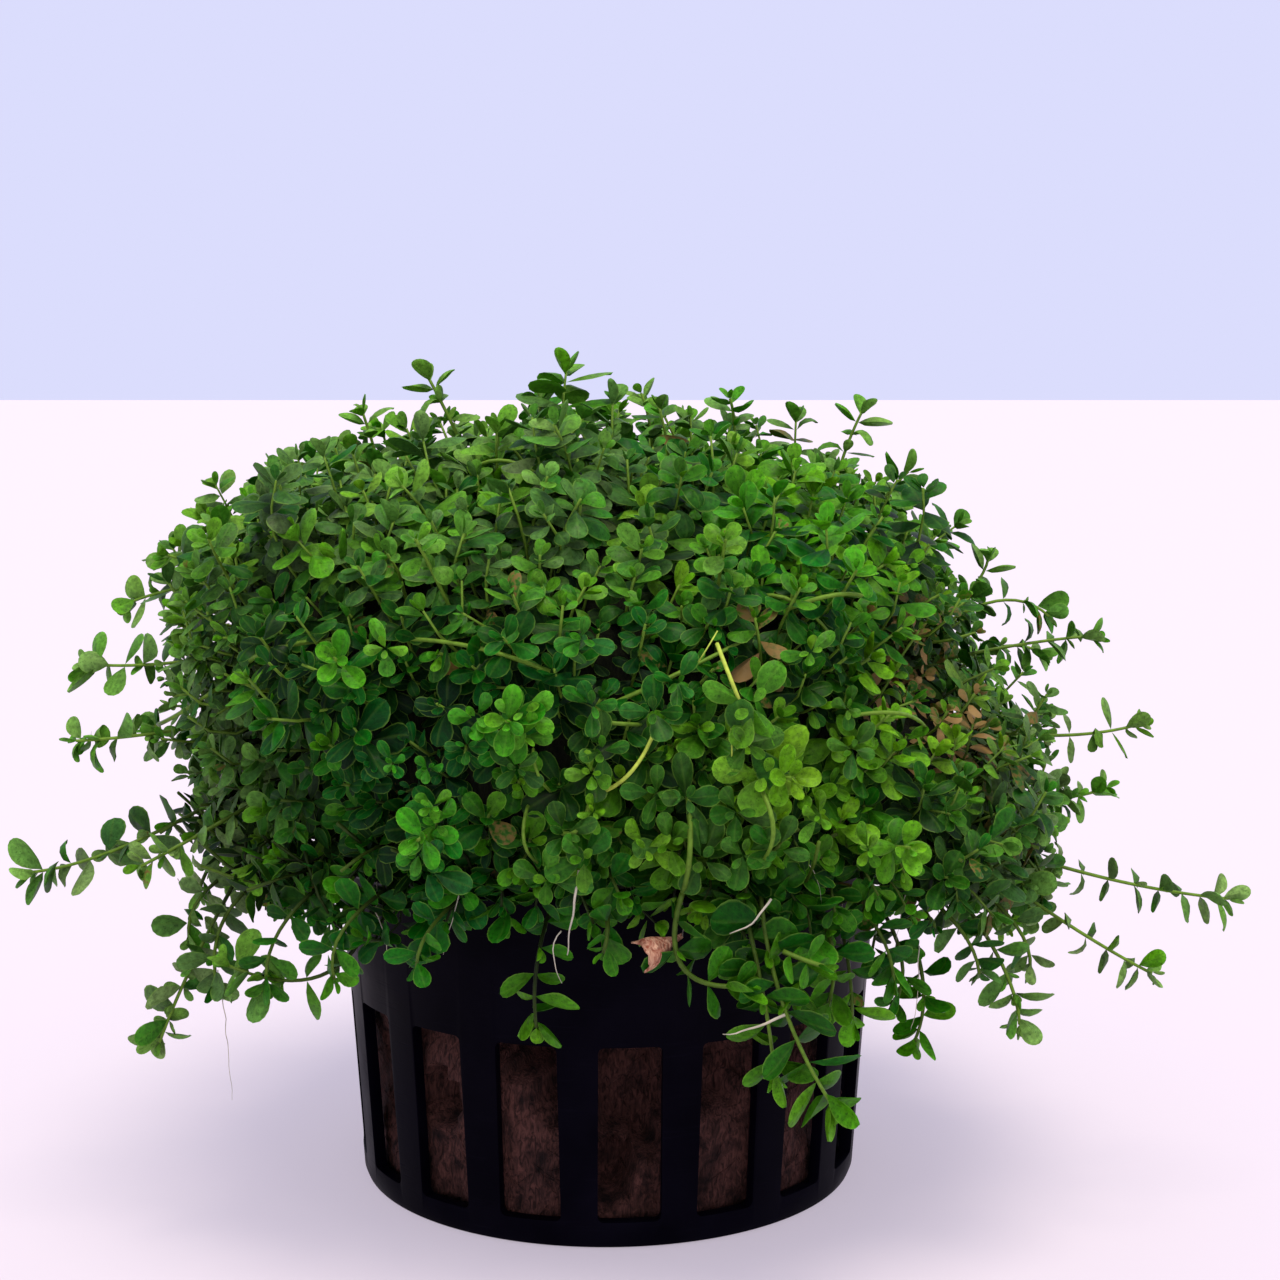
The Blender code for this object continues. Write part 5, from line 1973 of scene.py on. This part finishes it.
@dataclass
class Roots:
    """Fine pale roots that grow from the stems and hang from the cushion's hem, in mm."""

    tissue: bpy.types.Material
    foliage: Foliage
    count: int = 45
    spacing: float = 3.0
    tries: int = 6000
    highest: float = 39.0  # height up to which fine roots hang
    taper: float = 0.35
    wander: float = 0.22
    seed: int = 31

    def add(self) -> None:
        """Adds the roots that stand out and the fine ones, as one piece."""
        chance = random.Random(self.seed)
        strands = []
        for *ends, radius in ROOTS.values():
            strands.append(self.wavy(Route(*ends), radius, chance))
        for place, normal in scattered(self.foliage.form.skin(), self.spacing, self.tries, chance):
            if place.z > self.highest or len(strands) > self.count:
                continue
            foot = place - normal * chance.uniform(1.0, 3.0)
            drop = chance.uniform(2.0, 5.0)
            sway = Vector((chance.uniform(-1, 1), chance.uniform(-1, 1), 0.0))
            tip = foot - UP * drop + sway * drop * 0.35 + normal * 0.8
            bend = (foot + tip) / 2 + sway.cross(UP) * chance.uniform(0.2, 1.0)
            strands.append(self.wavy(Route(foot, bend, tip), chance.uniform(0.03, 0.06), chance))
        mesh = strand_mesh("fine_roots", strands, 0)
        add_piece("fine_roots", mesh, [self.tissue])

    def wavy(self, route: Route, radius: float, chance: random.Random) -> Strand:
        """Makes a root's strand, a little wavy and thinner towards its tip.

        Args:
            route: The root's route.
            radius: Its radius at its foot.
            chance: Where the chance comes from.

        Returns:
            The strand.
        """
        strand = stem_strand(route, radius, radius * self.taper, 0.5)
        phase = chance.uniform(0, 50)
        for index, point in enumerate(strand.points):
            wander = noise.noise_vector(Vector((phase, index * 0.35, 0.0)))
            strand.points[index] = point + wander * self.wander
        return strand


@dataclass
class Studio:
    """A pale floor, soft light from above and the camera, in mm."""

    floor_colour: str = "#a6a0a6"
    floor_glow: str = "#a9a0ac"  # stands for the light that a pale floor scatters under an overhang
    sky_colour: str = "#dbddfd"
    sky_strength: float = 1.0
    sun_colour: str = "#fff1dc"
    sun_strength: float = 2.7
    sun_softness: float = math.radians(30)
    fill_strength: float = 0.6
    fill_softness: float = math.radians(60)
    floor_reach: float = 12000.0
    camera_place: tuple[float, float, float] = VIEWPOINT
    camera_pitch: float = math.radians(6.7)
    focal_pixels: float = 2150.0
    image_pixels: float = 1280.0

    def add_floor(self) -> None:
        """Adds the floor, which is no part of the plant."""
        material, node = blank_material("matt_card")
        space = node("TexCoord", {})
        grain = node("TexNoise", {"Vector": space.outputs["Object"], "Scale": 400.0, "Detail": 3.0})
        relief = node("Bump", {"Height": grain, "Distance": 0.1 * MM, "Strength": 0.15})
        surface = node(
            "BsdfPrincipled",
            {
                "Base Color": linear(self.floor_colour), "Roughness": 0.9, "Specular IOR Level": 0.1,
                "Normal": relief, "Emission Color": linear(self.floor_glow), "Emission Strength": 1.0,
            },
        )
        node("OutputMaterial", {0: surface})
        shape = bmesh.new()
        bmesh.ops.create_grid(shape, x_segments=1, y_segments=1, size=self.floor_reach)
        floor = bpy.data.objects.new("studio_floor", finished("studio_floor", shape))
        floor.data.materials.append(material)
        bpy.context.scene.collection.objects.link(floor)

    def add_light(self) -> None:
        """Adds the sky, a soft sun straight above and a softer one from the front."""
        world = bpy.data.worlds.new("studio_sky")
        world.use_nodes = True
        sky = world.node_tree.nodes["Background"]
        sky.inputs["Color"].default_value = linear(self.sky_colour)
        sky.inputs["Strength"].default_value = self.sky_strength
        bpy.context.scene.world = world
        suns = (
            ("top_light", self.sun_strength, self.sun_softness, (12, 4)),
            ("front_fill", self.fill_strength, self.fill_softness, (55, 0)),
        )
        for name, strength, softness, (forward, sideways) in suns:
            lamp = bpy.data.lights.new(name, "SUN")
            lamp.energy = strength
            lamp.color = linear(self.sun_colour)[:3]
            lamp.angle = softness
            sun = bpy.data.objects.new(name, lamp)
            sun.rotation_euler = (math.radians(forward), math.radians(sideways), 0.0)
            bpy.context.scene.collection.objects.link(sun)

    def add_camera(self) -> None:
        """Adds the camera at the photograph's place, tilt and field of view."""
        lens = bpy.data.cameras.new("camera")
        lens.sensor_width = 36.0
        lens.lens = lens.sensor_width * self.focal_pixels / self.image_pixels
        lens.clip_start = 0.01
        lens.clip_end = 100.0
        camera = bpy.data.objects.new("camera", lens)
        camera.location = Vector(self.camera_place) * MM
        camera.rotation_euler = (math.radians(90) - self.camera_pitch, 0.0, 0.0)
        bpy.context.scene.collection.objects.link(camera)
        bpy.context.scene.camera = camera

    def build(self) -> None:
        """Builds the whole studio."""
        self.add_floor()
        self.add_light()
        self.add_camera()
        bpy.context.scene.view_settings.view_transform = "Standard"


def main() -> None:
    """Builds the plant, its pot and the studio."""
    logging.basicConfig(level=logging.INFO, format="%(message)s")
    leaf = LeafTissue().make()
    stem = StemTissue().make()
    # the heart's near-black colours: partly dead growth, partly painted shade deep in the cushion
    shaded_litter = FibrousMatter("dead_growth_in_painted_shade", "#1c200c", "#0b0f06", "#040603", fibre_mm=0.5).make()
    wool = FibrousMatter("damp_mineral_wool", "#55352f", "#241411", "#080405", clump_mm=2.2).make()
    tan = FibrousMatter("withered_leaf_tissue", "#d8ab8a", "#94553f", "#54201a", fibre_mm=0.3, clump_mm=1.0)
    pale_stem = StemTissue("pale_stem", fresh="#a9bc48", shaded="#7d9030").make()
    foliage = Foliage(leaf, stem, pale_stem, shaded_litter)
    foliage.add_cushion()
    foliage.add_heart()
    foliage.add_stems()
    pot = NetPot(MouldedPlastic().make())
    pot.add()
    WoolPlug(wool, pot).add()
    WitheredLeaf(tan.make()).add()
    Roots(RootTissue().make(), foliage).add()
    Studio().build()


if __name__ == "__main__":
    main()
